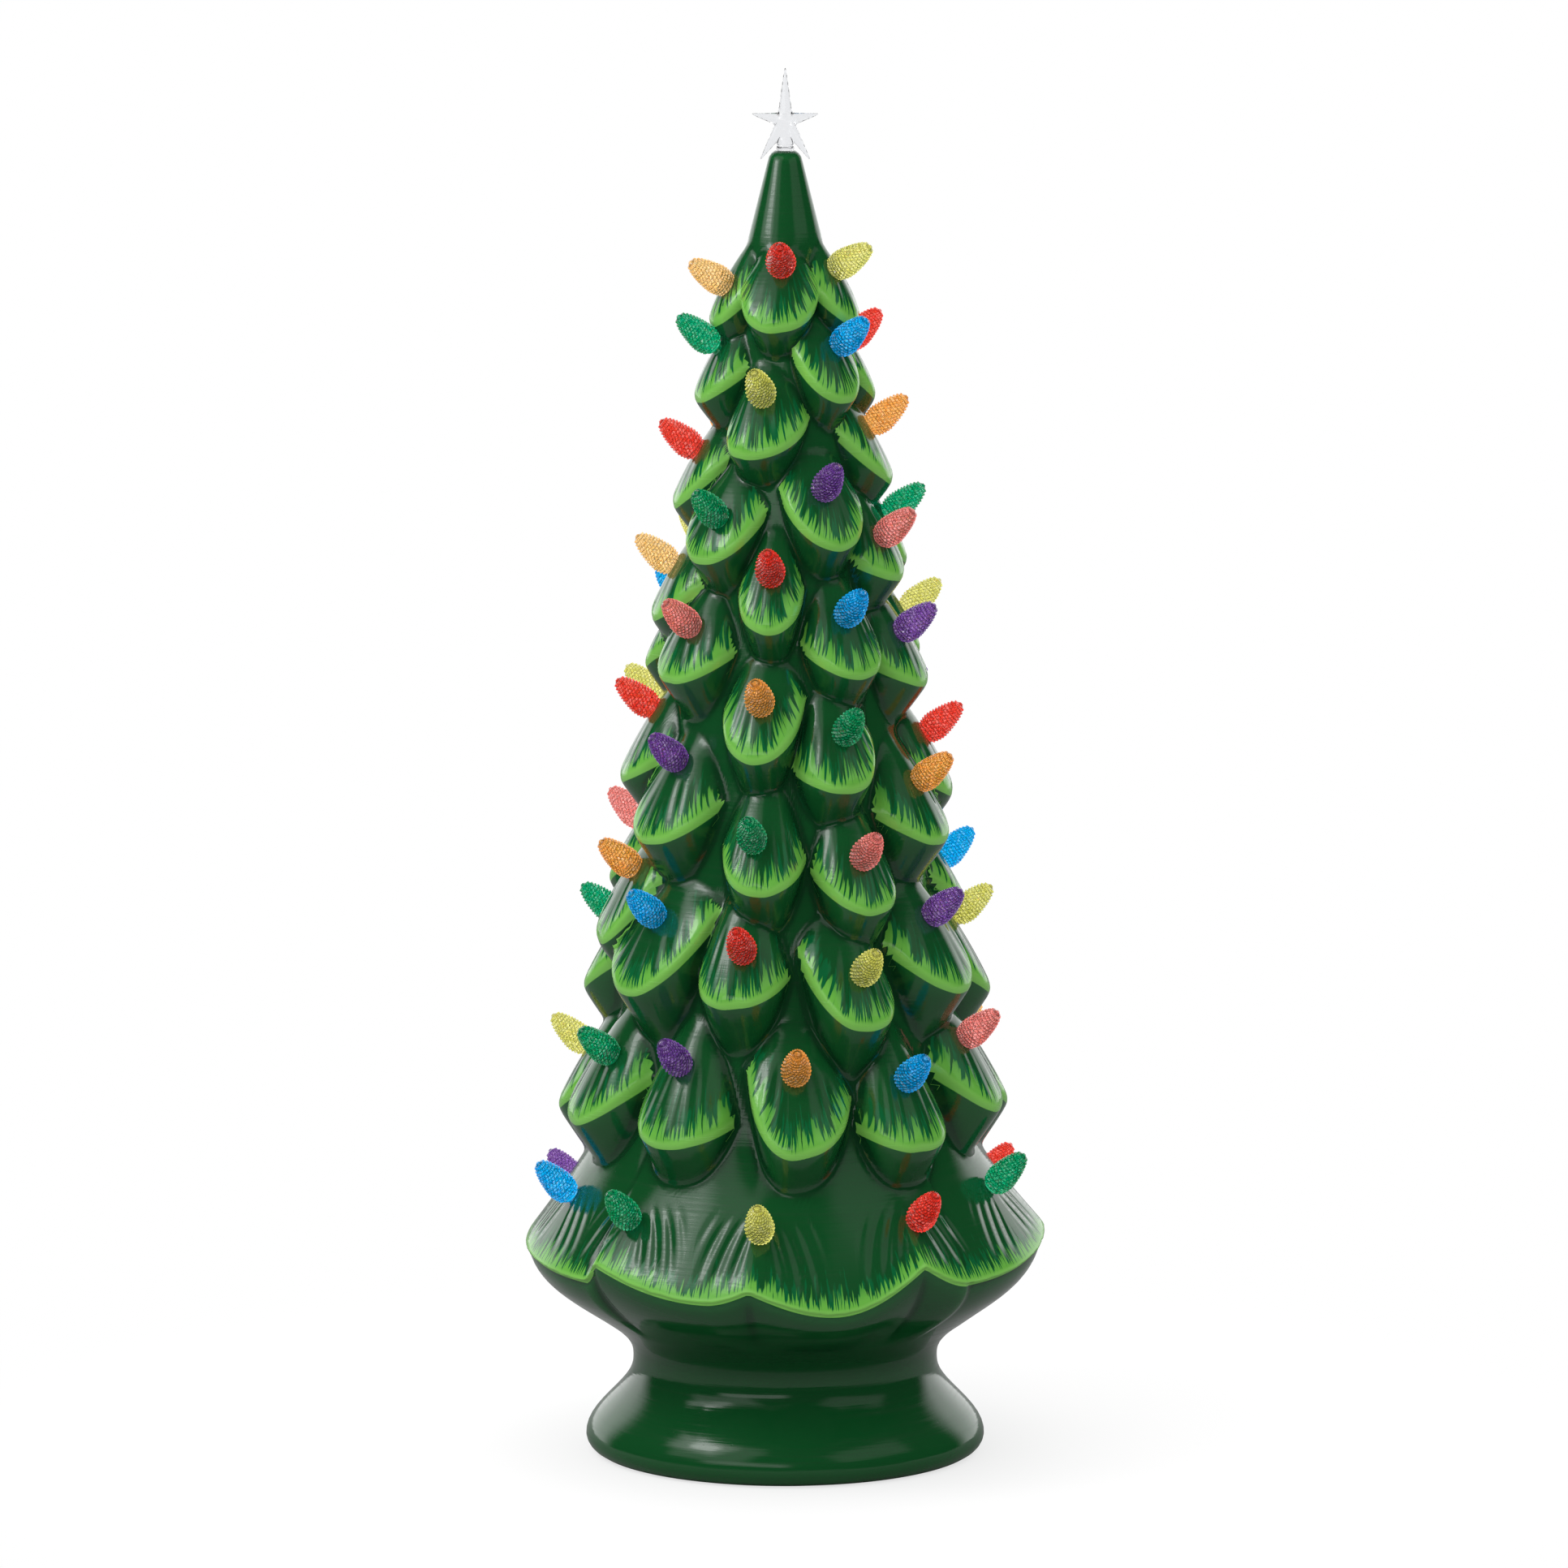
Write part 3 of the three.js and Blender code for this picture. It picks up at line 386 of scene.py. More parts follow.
def smooth(value, low, high):
    share = np.clip((value - low) / (high - low), 0, 1)
    return share * share * (3 - 2 * share)


def lipHeight(azimuth):
    stops = []
    for low, lowHeight, cusp, cuspHeight in skirtLobes:
        stops += [(low, lowHeight, True), (cusp, cuspHeight, False)]
    stops.append((stops[0][0] + 360, stops[0][1], True))
    start = stops[0][0]
    turned = start + np.mod(azimuth - start, 360)
    height = np.zeros_like(turned)
    for (a, ha, lowA), (b, hb, _) in zip(stops, stops[1:]):
        inside = (turned >= a) & (turned < b)
        share = (turned - a) / (b - a)
        fromLow = share if lowA else 1 - share
        low, cusp = (ha, hb) if lowA else (hb, ha)
        rise = 1 - np.cos(np.clip(fromLow, 0, 1) * math.pi / 2)
        height = np.where(inside, low + (cusp - low) * rise, height)
    return height


def coneRadius(height):
    s = shell
    share = (height - s["waistHeight"]) / (s["crownFoot"] - s["waistHeight"])
    return s["coneFootRadius"] + (s["coneTopRadius"] - s["coneFootRadius"]) * share


def baseRadius(height):
    s = shell
    low = np.clip((height - s["baseBulge"]) / (s["neckHeight"] - s["baseBulge"]), 0, 1)
    flare = (0.5 + 0.5 * np.cos(math.pi * low)) ** s["baseCurve"]
    base = s["neckRadius"] + (s["baseRadius"] - s["neckRadius"]) * flare
    foot = np.clip(height / s["baseBulge"], 0, 1)
    edge = s["footRadius"] + (s["baseRadius"] - s["footRadius"]) * np.sqrt(1 - (1 - foot) ** 2)
    return np.where(height < s["baseBulge"], edge, base)


def bezier(points):
    t = np.linspace(0, 1, 41)
    weights = [(1 - t) ** 3, 3 * (1 - t) ** 2 * t, 3 * (1 - t) * t * t, t ** 3]
    return sum(weight * point for weight, point in zip(weights, points))


# The bowl under the skirt
def bowlRadius(height, lip):
    s = shell
    radii = bezier([s["neckRadius"], s["neckRadius"], s["skirtRadius"] - 8, s["skirtRadius"] - 2.0])
    heights = bezier([s["neckHeight"] + rise for rise in s["bowlRise"]] + [s["bowlTop"]])
    split = s["bowlSplit"]
    under = lip - s["lipThickness"]
    asked = split + (height - split) * (s["bowlTop"] - split) / (under - split)
    bowl = np.interp(np.where(height > split, asked, height), heights, radii)
    return np.maximum(bowl, s["neckRadius"])


# The top of the skirt, running into the cone through a hollow at the waist
def skirtRadius(height, lip, front):
    s = shell
    share = np.maximum((height - lip) / (s["waistHeight"] - lip), 0)
    slope = (s["waistRadius"] - s["skirtRadius"]) * share ** s["skirtCurve"]
    top = s["skirtRadius"] + s["skirtSwell"] + 0.6 * (front - 0.5) + slope
    roll, rollHeight = s["skirtRoll"]
    top = top - roll * np.exp(-np.maximum(height - lip, 0) / rollHeight)
    cone = coneRadius(height)
    hollow = np.clip(0.5 + 0.5 * (top - cone) / s["waistHollow"], 0, 1)
    return cone + (top - cone) * hollow + s["waistHollow"] * hollow * (1 - hollow)


def crownRadius(height):
    s = shell
    bendRadius, bendHeight = s["crownBend"]
    topRadius, topHeight = s["crownTop"]
    heights = [s["crownFoot"], bendHeight, topHeight, s["height"]]
    crown = np.interp(height, heights, [s["coneTopRadius"], bendRadius, topRadius, s["tipRadius"]])
    drop, depth = s["tipRound"]
    return crown - drop * np.clip((height - (s["height"] - depth)) / depth, 0, 1) ** 3


def bodyRadius(azimuth, height):
    s = shell
    lip = lipHeight(azimuth)
    overNeck = height > s["neckHeight"] + s["bowlRise"][0]
    radius = np.where(overNeck, bowlRadius(height, lip), baseRadius(height))
    # the front lobes overlap the ones at the sides with an upright step
    front = smooth(azimuth, -47.5, -46) * (1 - smooth(azimuth, 43.5, 45))
    radius = radius + (front * s["lobeStep"] - s["lobeStep"] / 2) * smooth(height, 58, 74) * (height < lip)
    radius = np.where(height >= lip, skirtRadius(height, lip, front), radius)
    collar = height > s["crownFoot"] - s["crownCollar"]
    radius = np.where(collar, np.minimum(radius, s["coneTopRadius"]), radius)
    return np.where(height > s["crownFoot"], crownRadius(height), radius)


# A measure of the branches that changes from the lowest row to the topmost
def graded(name, up):
    low, high = branches["foot" + name], branches["top" + name]
    return low + (high - low) * up


def chartedBranches():
    made = []
    for number, row in enumerate(branchChart):
        azimuth, tip, leftReach, leftRise, rightReach, rightRise, turn, over, colour = row
        up = (tip - shell["waistHeight"]) / (shell["crownFoot"] - shell["waistHeight"])
        made.append({
            "number": number,
            "azimuth": azimuth,
            "tip": tip,
            "reach": (leftReach, rightReach),
            "rise": (leftRise, rightRise),
            "standout": graded("Standout", up),
            "length": graded("Length", up),
            "undercut": graded("Undercut", up),
            "fillet": graded("Fillet", up),
            "flute": graded("FluteDepth", up),
            "turn": turn,
            "over": over,
            "colour": colour,
        })
    return made


# One branch: its radius at each place, the distance and place along its rim, where it is painted,
# and the number and depth of its flutes
def branchSurface(branch, azimuth, height):
    b = branches
    offset = np.mod(azimuth - branch["azimuth"] + 180, 360) - 180
    reach = np.where(offset < 0, *branch["reach"])
    rise = np.where(offset < 0, *branch["rise"])
    place = offset / reach
    share = np.clip(np.abs(place), 0, 1)
    seed = branch["number"] * 1.7
    wave = sum(high * np.sin(place * many + turn * seed) for high, many, turn in b["waves"])
    wave = wave * (1 - share)
    plainRim = branch["tip"] + rise * share ** 2
    rim = plainRim + wave * np.exp(-np.maximum(plainRim - height, 0) / 1.5)
    root = branch["tip"] + branch["length"] - (branch["length"] - rise) * share ** 2.2
    out = branch["standout"] * (1 - share ** 3)
    size = np.minimum(out / 8, 1)  # small where the branch runs out at its sides
    above = height - rim
    cone = coneRadius(height)
    t = np.clip(above / np.maximum(root - rim, 1.0), 0, 1)
    # flutes fan out from the bulb to the rim
    vein = np.abs(place) * b["flutes"] + 0.9 * t ** 1.2 + 0.25 * np.sin(seed)
    fluteRange = smooth(above, 2.5, 10) * (1 - smooth(t, 0.45, 0.8))
    fluteRange = fluteRange * smooth(share, 0.08, 0.25) * (1 - smooth(share, 0.7, 0.95))
    noseHeight, noseWidth = b["nose"]
    nose = noseHeight * np.exp(-(share / noseWidth) ** 2) * (1 - t) * smooth(above, 0, 6)
    rolled = b["rimRoll"] * size
    puff = b["puff"] * size * 4 * t * (1 - t)
    top = cone + out * (1 - t) ** 0.93 + puff + nose + b["lift"]
    top = top - rolled * np.exp(-np.maximum(above, 0) / b["rollOver"])
    depth = np.maximum(-above, 0)
    drop = np.maximum(out / branch["undercut"], 1)
    down = np.clip(depth / drop, 0, 1)
    step = b["lipStep"] * smooth(depth, 0.0, 1.5) * size
    under = cone + out * (1 - down) ** 0.95 + b["lift"] * (1 - down) - step
    under = under - rolled * np.exp(-depth / b["rollUnder"])
    local = math.pi / 180 * (coneRadius(branch["tip"]) + 0.7 * branch["standout"])
    # past its edges the branch dives into the body, so that the fillet has no step
    pastSide = np.maximum(np.abs(place) - 1, 0) * reach * local
    past = pastSide + np.maximum(height - np.maximum(root, rim), 0) + np.maximum(depth - drop, 0)
    radius = np.where(above >= 0, top, under) - b["dive"] * past
    # distance to the rim's curve, and the place along it
    slope = rise * 2 * share / (reach * local)
    lean = 1 / np.sqrt(1 + slope ** 2)
    away = above * lean
    along = offset * local + np.sign(offset) * above * lean * slope * lean * 0.6
    painted = (above > -b["paintDepth"]) & (past < 0.4)
    strokes = along + b["strokeShift"] * branch["number"]
    return radius, away, strokes, painted, vein, branch["flute"] * fluteRange


# The skirt's own marks: distance to its lip, place along it, where it is painted, and the number
# and depth of its flutes, which curve from each bulb's line down to the cusps
def skirtMarks(azimuth, height):
    m = skirtMarking
    lip = lipHeight(azimuth)
    below, above = m["paintBand"]
    away = np.where(height >= lip, (height - lip) * m["slope"], height - lip)
    painted = ((height > lip - below) & (height < lip + above)).astype(float)
    stops = np.array([row[0] for row in skirtBulbs], float)
    turns = np.mod(azimuth[..., None] - stops + 180, 360) - 180
    pick = np.argmin(np.abs(turns), axis=-1)
    fromBulb = np.abs(np.take_along_axis(turns, pick[..., None], -1)[..., 0])
    share = np.clip((height - lip) / (shell["waistHeight"] - lip), 0, 1)
    vein = fromBulb / m["fluteWidth"] + m["fluteCurve"] * share ** 2
    flute = m["fluteDepth"] * smooth(share, 0.12, 0.35) * (1 - smooth(share, 0.6, 0.95))
    flute = flute * smooth(fromBulb, 1.5, 4)
    flute = flute * (1 - smooth(fromBulb, 11, 17)) * (height > lip)
    return away, azimuth * m["stroke"], painted, vein, flute


# The places that a branch can reach, with its fillet
def nearBranch(branch, azimuth, height):
    offset = np.mod(azimuth - branch["azimuth"] + 180, 360) - 180
    left, right = branch["reach"]
    margin = branches["margin"]
    turn = math.degrees(margin / coneRadius(branch["tip"]))
    near = (offset > -left - turn) & (offset < right + turn)
    near &= height < branch["tip"] + branch["length"] + margin
    near &= height > branch["tip"] - branch["standout"] / branch["undercut"] - margin
    return near


def filleted(old, new, size):
    h = np.clip(0.5 + 0.5 * (new - old) / size, 0, 1)
    return old * (1 - h) + new * h + size * h * (1 - h) * 0.8


def shellSurface(azimuth, height, tree):
    radius = bodyRadius(azimuth, height)
    highest = radius.copy()
    marks = skirtMarks(azimuth, height)
    for branch in tree:
        near = nearBranch(branch, azimuth, height)
        if not near.any():
            continue
        leaf, *leafMarks = branchSurface(branch, azimuth[near], height[near])
        radius[near] = filleted(radius[near], leaf, branch["fillet"])
        # the marks are those of the surface that stands highest
        wins = leaf > highest[near]
        highest[near] = np.where(wins, leaf, highest[near])
        for mark, leafMark in zip(marks, leafMarks):
            mark[near] = np.where(wins, leafMark, mark[near])
    return radius, *marks


def blurred(values, across, along):
    for _ in range(across):
        values = 0.25 * (np.roll(values, 1, 0) + np.roll(values, -1, 0)) + 0.5 * values
    width = np.ones(along) / along
    padded = np.pad(values, ((0, 0), (along // 2, along // 2)), mode="edge")
    return np.stack([np.convolve(line, width, mode="valid") for line in padded])


# Rows of each column, close together where the surface turns, and how far it stands proud there
def rowHeights(tree):
    s = shell
    columns = np.arange(s["columns"]) * 360 / s["columns"] - 180
    fine = np.linspace(0, s["height"], s["samples"])
    azimuth, height = np.meshgrid(columns, fine, indexing="ij")
    radius = shellSurface(azimuth, height, tree)[0]
    dr = np.diff(radius, axis=1)
    dz = np.diff(height, axis=1)
    turn = np.abs(np.diff(np.arctan2(dr, dz), axis=1))
    turn = blurred(np.pad(turn, ((0, 0), (1, 0))), 1, 7)
    forLength, forTurn = s["rowShare"]
    weight = np.minimum(np.hypot(dr, dz), 3.0) * forLength + forTurn * np.minimum(turn, 0.5)
    # neighbouring columns share their spacing, so that the rows run smoothly round the tree
    weight = blurred(weight, 1, 1)
    total = np.concatenate([np.zeros((len(columns), 1)), np.cumsum(weight, axis=1)], axis=1)
    total /= total[:, -1:]
    rows = np.linspace(0, 1, s["outerRows"])
    heights = np.stack([np.interp(rows, line, fine) for line in total])
    crest = radius - blurred(radius, 5, 11)
    crest = np.stack([np.interp(at, fine, line) for at, line in zip(heights, crest)])
    return columns, heights, crest


# Radius and height of the inside wall, from the pin hole down to the rebate of the foot
def innerWall():
    s = shell
    crownInside = s["coneTopRadius"] - s["wall"]
    return [
        (s["pinHole"], s["height"]),
        (s["pinHole"], 559.0),
        (5.0, 556.0),
        (crownInside, s["crownFoot"]),
        (crownInside, s["crownFoot"] - s["crownCollar"]),
        (49.0, 300.0),
        (coneRadius(135.0) - s["wall"], 135.0),
        (100.0, 90.0),
        (s["openingRadius"], s["neckHeight"] + 8),
        (s["openingRadius"], s["rebateDepth"]),
        (s["rebateRadius"], s["rebateDepth"]),
        (s["rebateRadius"], 0.0),
    ]


def facedOutward(mesh):
    form = bmesh.new()
    form.from_mesh(mesh)
    bmesh.ops.recalc_face_normals(form, faces=form.faces)
    for edge in form.edges:
        edge.smooth = True
    form.to_mesh(mesh)
    form.free()


def makeShell():
    s = shell
    tree = chartedBranches()
    columns, heights, crest = rowHeights(tree)
    azimuth = np.repeat(columns[:, None], s["outerRows"], axis=1)
    radius, away, along, painted, vein, flute = shellSurface(azimuth, heights, tree)
    inner = innerWall()
    # a plain ring spun first, whose points tell their row and column and then go to their places
    form = bmesh.new()
    rings = s["outerRows"] + len(inner)
    spun(form, [(1, 0, row * 0.001) for row in range(rings)], s["columns"], closed=True)
    mesh = meshFrom("glazedShell", form)
    co = np.zeros(len(mesh.vertices) * 3)
    mesh.vertices.foreach_get("co", co)
    co = co.reshape(-1, 3)
    row = np.rint(co[:, 2] * 1000).astype(int)
    turned = (np.degrees(np.arctan2(co[:, 0], -co[:, 1])) + 180) * s["columns"] / 360
    column = np.mod(np.rint(turned).astype(int), s["columns"])
    outer = row < s["outerRows"]
    innerRadius, innerHeight = np.array(inner).T
    safe = np.minimum(row, s["outerRows"] - 1)
    rest = np.clip(row - s["outerRows"], 0, len(inner) - 1)
    r = np.where(outer, radius[column, safe], innerRadius[rest])
    z = np.where(outer, heights[column, safe], innerHeight[rest])
    angle = np.radians(columns[column])
    co = np.stack([r * np.sin(angle), -r * np.cos(angle), z], axis=1) * 0.001
    mesh.vertices.foreach_set("co", co.ravel())
    # each mark and what it is on the inside wall
    marks = {
        "rimDistance": (away, 90.0),
        "rimPlace": (along, 0.0),
        "painted": (painted, 0.0),
        "crest": (crest, 0.0),
        "vein": (vein, 0.0),
        "flute": (flute, 0.0),
    }
    for name, (values, blank) in marks.items():
        data = mesh.attributes.new(name, "FLOAT", "POINT")
        data.data.foreach_set("value", np.where(outer, values[column, safe], blank).astype(np.float32))
    mesh.polygons.foreach_set("use_smooth", np.ones(len(mesh.polygons), bool))
    mesh.update()
    facedOutward(mesh)
    made = objectFrom("glazedShell", mesh)
    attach(made, "tree")
    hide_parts("ceramic_shell")
    return made, tree


glazedShell, tree = makeShell()
print("shell:", len(glazedShell.data.polygons), "faces")


# Glaze
glaze = {
    "colours": {
        "deep": (11, 55, 27),
        "body": (15, 76, 35),
        "crest": (30, 100, 47),
        "teal": (4, 98, 54),
        "stroke": (62, 138, 52),
        "lime": (106, 178, 68),
        "rim": (124, 192, 84),
    },
    "limeReach": (1.8, 2.5, 22.0),  # millimetres from the rim, then more in fine and in broad strokes
    "limeSoftness": 3.0,
    "tealReach": (6.0, 24.0),
    "tealSoftness": 5.0,
    "fading": (3.0, 14.0),  # where the lime turns into the duller stroke
    "solidRim": (1.2, 3.4),
    "rimStart": (-1.4, -1.0),  # the paint ends just under the rim
    "cover": {"deep": 0.8, "crest": 0.4, "teal": 0.7, "lime": 0.92, "rim": 0.85},
    "relief": {"lines": 0.06, "swell": 0.36, "pits": 0.03, "paint": 0.03},  # millimetres
    "roughness": 0.09,
    "fluteShare": 0.8,
}


def makeGlaze():
    made, sh = material("greenGlaze")
    g, cover, relief = glaze, glaze["cover"], glaze["relief"]
    colours = {name: linear(*value) for name, value in g["colours"].items()}
    away = sh.attribute("rimDistance")
    along = sh.attribute("rimPlace")
    crest = sh.attribute("crest")
    place = sh.place()
    # strokes run away from the rim and taper to a point
    fine = sh.noise(sh.vector(along * 1.05, away * 0.05, 0.0), 1.0, 1.5, 0.5)
    broad = sh.noise(sh.vector(along * 0.16, away * 0.03, 5.0), 1.0, 1.0)
    tufts = sh.noise(sh.vector(along * 0.7, away * 0.06, 9.0), 1.0, 2.0)
    least, withFine, withBroad = g["limeReach"]
    limeEnd = least + (withFine + withBroad * broad) * sh.step(fine, 0.28, 0.74)
    least, withTufts = g["tealReach"]
    tealEnd = least + withTufts * sh.step(tufts, 0.35, 0.75) * (0.3 + broad)
    painted = sh.step(sh.attribute("painted"), 0.85, 0.95) * sh.step(away, *g["rimStart"])
    lime = (1.0 - sh.step(away, limeEnd - g["limeSoftness"], limeEnd)) * painted
    teal = (1.0 - sh.step(away, tealEnd - g["tealSoftness"], tealEnd)) * painted
    solid = (1.0 - sh.step(away, *g["solidRim"])) * painted
    fading = sh.step(away, *g["fading"])
    pooled = sh.step(crest, -0.4, 0.05)
    raised = sh.step(crest, 0.05, 0.5)
    mottled = sh.noise(place, 60.0, 3.0, 0.6)
    colour = sh.mix(pooled * cover["deep"] + 0.2 * mottled, colours["deep"], colours["body"])
    colour = sh.mix(raised * cover["crest"], colour, colours["crest"])
    colour = sh.mix(teal * cover["teal"], colour, colours["teal"])
    colour = sh.mix(lime * cover["lime"], colour, sh.mix(fading, colours["lime"], colours["stroke"]))
    colour = sh.mix(solid * cover["rim"], colour, colours["rim"])
    # the wheel left faint level lines under the glaze
    lines = sh.noise(sh.stretched(place, (14.0, 14.0, 900.0)), 1.0, 3.0, 0.6)
    swell = sh.noise(place, 26.0, 2.0)
    pits = sh.node("ShaderNodeTexVoronoi", {"Vector": place, "Scale": 190.0}, feature="F1")
    pit = sh.step(Wire(sh, pits.outputs["Distance"]), 0.0, 0.10)
    groove = 0.5 - 0.5 * (sh.attribute("vein") * 2 * math.pi).math("COSINE")
    grooves = (groove ** 1.3) * sh.attribute("flute") * g["fluteShare"]
    height = lines * relief["lines"] + swell * relief["swell"] + pit * relief["pits"]
    height = height - solid * relief["paint"] - grooves
    finishWith(sh, {
        "Base Color": colour,
        "Roughness": g["roughness"] + 0.12 * sh.step(lines, 0.4, 0.75) + 0.1 * solid,
        "IOR": 1.5,
        "Normal": sh.bump(height, 0.001, 0.8),
    })
    return made


glazedShell.data.materials.append(makeGlaze())
print("glaze done")


# Bulbs
bulb = {
    "length": 22.0,  # millimetres
    "radius": 6.15,
    "belly": 0.33,  # where the head is widest, as a share of its length
    "collarRadius": 4.2,
    "stemRadius": 2.6,
    "stemLength": 11.0,
    "plainEnds": (1.3, 2.3),  # length without facets at the collar, and at both ends together
    "rows": 14,
    "around": 20,
    "facet": 0.75,  # how far each facet's point stands out
    "unevenness": 0.12,
    "plainRise": 0.36,  # how much painted light the smooth nose and collar get, between groove and facet top
    "seatReach": 0.008,  # metres within which a CAD bulb is taken for the same one
    "crownTilt": 32,
    "branchTilt": 40,
    "skirtTilt": 46,
    "shade": 0.55,  # painted shade of the grooves, against the colour of the facet tops
    "deepening": 1.9,  # the power for the painted glow that stands in for light going through the plastic twice
    "deepShade": 0.08,  # painted shade of the grooves in that painted glow
    "clearness": 0.88,
    # strength of that painted glow
    "glow": 0.38,
}

bulbColours = {
    # as the light of the backdrop comes through them
    "red": (244, 92, 74),
    "yellow": (232, 230, 146),
    "amber": (252, 218, 156),
    "orange": (248, 194, 112),
    "blue": (10, 196, 244),
    "green": (6, 184, 134),
    "purple": (156, 108, 190),
    "rose": (244, 166, 160),
}


def bulbHead(share):
    b = bulb
    belly = b["belly"]
    if share < belly:
        return b["collarRadius"] + (b["radius"] - b["collarRadius"]) * math.sin(share / belly * math.pi / 2)
    t = (share - belly) / (1 - belly)
    roundNose = math.sqrt(max(1 - t ** 2, 0))
    fullNose = math.sqrt(max(1 - t ** 5, 0)) * (1 - 0.62 * t)
    return b["radius"] * (0.5 * roundNose + 0.5 * fullNose)


# One more ring of smooth faces beyond an open edge
def grown(form, rise, loop, radius, z):
    made = bmesh.ops.extrude_edge_only(form, edges=loop)["geom"]
    for vert in made:
        if isinstance(vert, bmesh.types.BMVert):
            flat = Vector((vert.co.x, vert.co.y, 0)).normalized() * radius
            vert.co = (flat.x, flat.y, z)
            vert[rise] = bulb["plainRise"]
    return [edge for edge in made if isinstance(edge, bmesh.types.BMEdge) and edge.is_boundary]


def makeBulbMesh():
    b = bulb
    form = bmesh.new()
    rise = form.verts.layers.float.new("facetRise")
    start, plain = b["plainEnds"]
    heights = [start + (b["length"] - plain) * i / b["rows"] for i in range(b["rows"] + 1)]
    spun(form, [(bulbHead(z / b["length"]), 0, z) for z in heights], b["around"])
    # each row turns on by half a facet, so that the squares lean into diamonds
    for vert in form.verts:
        row = min(range(len(heights)), key=lambda i: abs(heights[i] - vert.co.z))
        jitter = math.sin(vert.co.x * 7.3 + vert.co.z * 3.1) * b["unevenness"]
        vert.co = Matrix.Rotation(math.pi / b["around"] * row + jitter * 0.3, 3, "Z") @ vert.co
        if 0 < row < b["rows"]:
            vert.co.z += jitter
    bmesh.ops.recalc_face_normals(form, faces=form.faces)
    level = Vector((1, 1, 0))
    outward = sum(face.normal.dot(face.calc_center_median() * level) for face in form.faces)
    offset = b["facet"] if outward > 0 else -b["facet"]
    poked = bmesh.ops.poke(form, faces=form.faces, offset=offset, center_mode="MEAN")
    for vert in poked["verts"]:
        vert[rise] = 1.0
    rim = [edge for edge in form.edges if edge.is_boundary]
    low = [edge for edge in rim if max(v.co.z for v in edge.verts) < b["length"] / 2]
    high = [edge for edge in rim if min(v.co.z for v in edge.verts) > b["length"] / 2]
    nose = [(bulbHead(1 - 0.4 / b["length"]) * 0.8, b["length"] - 0.35), (0.7, b["length"] - 0.02)]
    collarAndStem = [
        (b["collarRadius"] + 0.25, 0.9),
        (b["collarRadius"], 0.4),
        (b["collarRadius"] - 0.3, 0.0),
        (b["stemRadius"], -0.05),
        (b["stemRadius"], -b["stemLength"]),
    ]
    for loop, rings in ((high, nose), (low, collarAndStem)):
        for radius, z in rings:
            loop = grown(form, rise, loop, radius, z)
        bmesh.ops.contextual_create(form, geom=loop)
    bmesh.ops.recalc_face_normals(form, faces=form.faces)
    return meshFrom("bulb", form)


def axisOf(azimuth, tilt):
    angle = math.radians(azimuth)
    lean = math.radians(tilt)
    return Vector((math.sin(angle) * math.cos(lean), -math.cos(angle) * math.cos(lean), math.sin(lean)))


# Azimuth, height, tilt and colour of every bulb
def bulbSeats(tree):
    b = bulb
    seats = []
    for branch in tree:
        tilt = b["crownTilt"] if branch["tip"] + branch["length"] > shell["crownFoot"] else b["branchTilt"]
        height = branch["tip"] + branch["over"] - b["length"] / 2 * math.sin(math.radians(tilt))
        seats.append((branch["azimuth"] + branch["turn"], height, tilt, branch["colour"]))
    for azimuth, inset, colour in skirtBulbs:
        lip = float(lipHeight(np.array([float(azimuth)]))[0])
        drop = shell["waistHeight"] - lip
        share = inset / math.hypot(shell["skirtRadius"] - shell["waistRadius"], drop)
        seats.append((azimuth, lip + drop * share, b["skirtTilt"], colour))
    return seats


def makeBulbMaterial(name, rgb):
    b = bulb
    made, sh = material(name + "Bulb")
    place = sh.place()
    rise = sh.attribute("facetRise")
    sparkle = sh.noise(place, 620.0, 1.0, 0.5)
    cloud = sh.noise(place, 140.0, 2.0)
    colour = linear(*rgb)
    # painted shade in the grooves between the facets
    dark = tinted(colour, b["shade"])
    # painted glow: the emission stands in for light that comes from the front and goes through the plastic
    # twice
    deep = tinted(colour, 1.0, b["deepening"])
    paintedGrooveGlow = tinted(deep, b["deepShade"])
    glintColour = tuple(min(1.0, 0.6 * c + 0.4) for c in colour[:3]) + (1.0,)
    # painted light on the facet tops, varied by a cloud of noise
    tops = sh.step(rise, 0.12, 0.5)
    lit = tops * (0.6 + 0.4 * cloud)
    body = sh.mix(lit, dark, colour)
    # painted glints: pale specks on the facet tops, also in the glow
    paintedGlints = sh.step(sparkle, 0.5, 0.62) * tops * 0.5
    finishWith(sh, {
        "Base Color": sh.mix(paintedGlints, body, glintColour),
        "Roughness": 0.02 + 0.05 * sparkle,
        "IOR": 1.5,
        "Transmission Weight": b["clearness"],
        "Emission Color": sh.mix(paintedGlints * 0.6, sh.mix(lit, paintedGrooveGlow, deep), glintColour),
        "Emission Strength": b["glow"],
        "Normal": sh.bump(cloud, 0.0002, 0.15),
    })
    return made


def cadBulbs():
    found = {}
    for name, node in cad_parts.items():
        if name.startswith("bulb_"):
            found[name] = [node.matrix_world @ vert.co for vert in node.data.vertices]
    return found


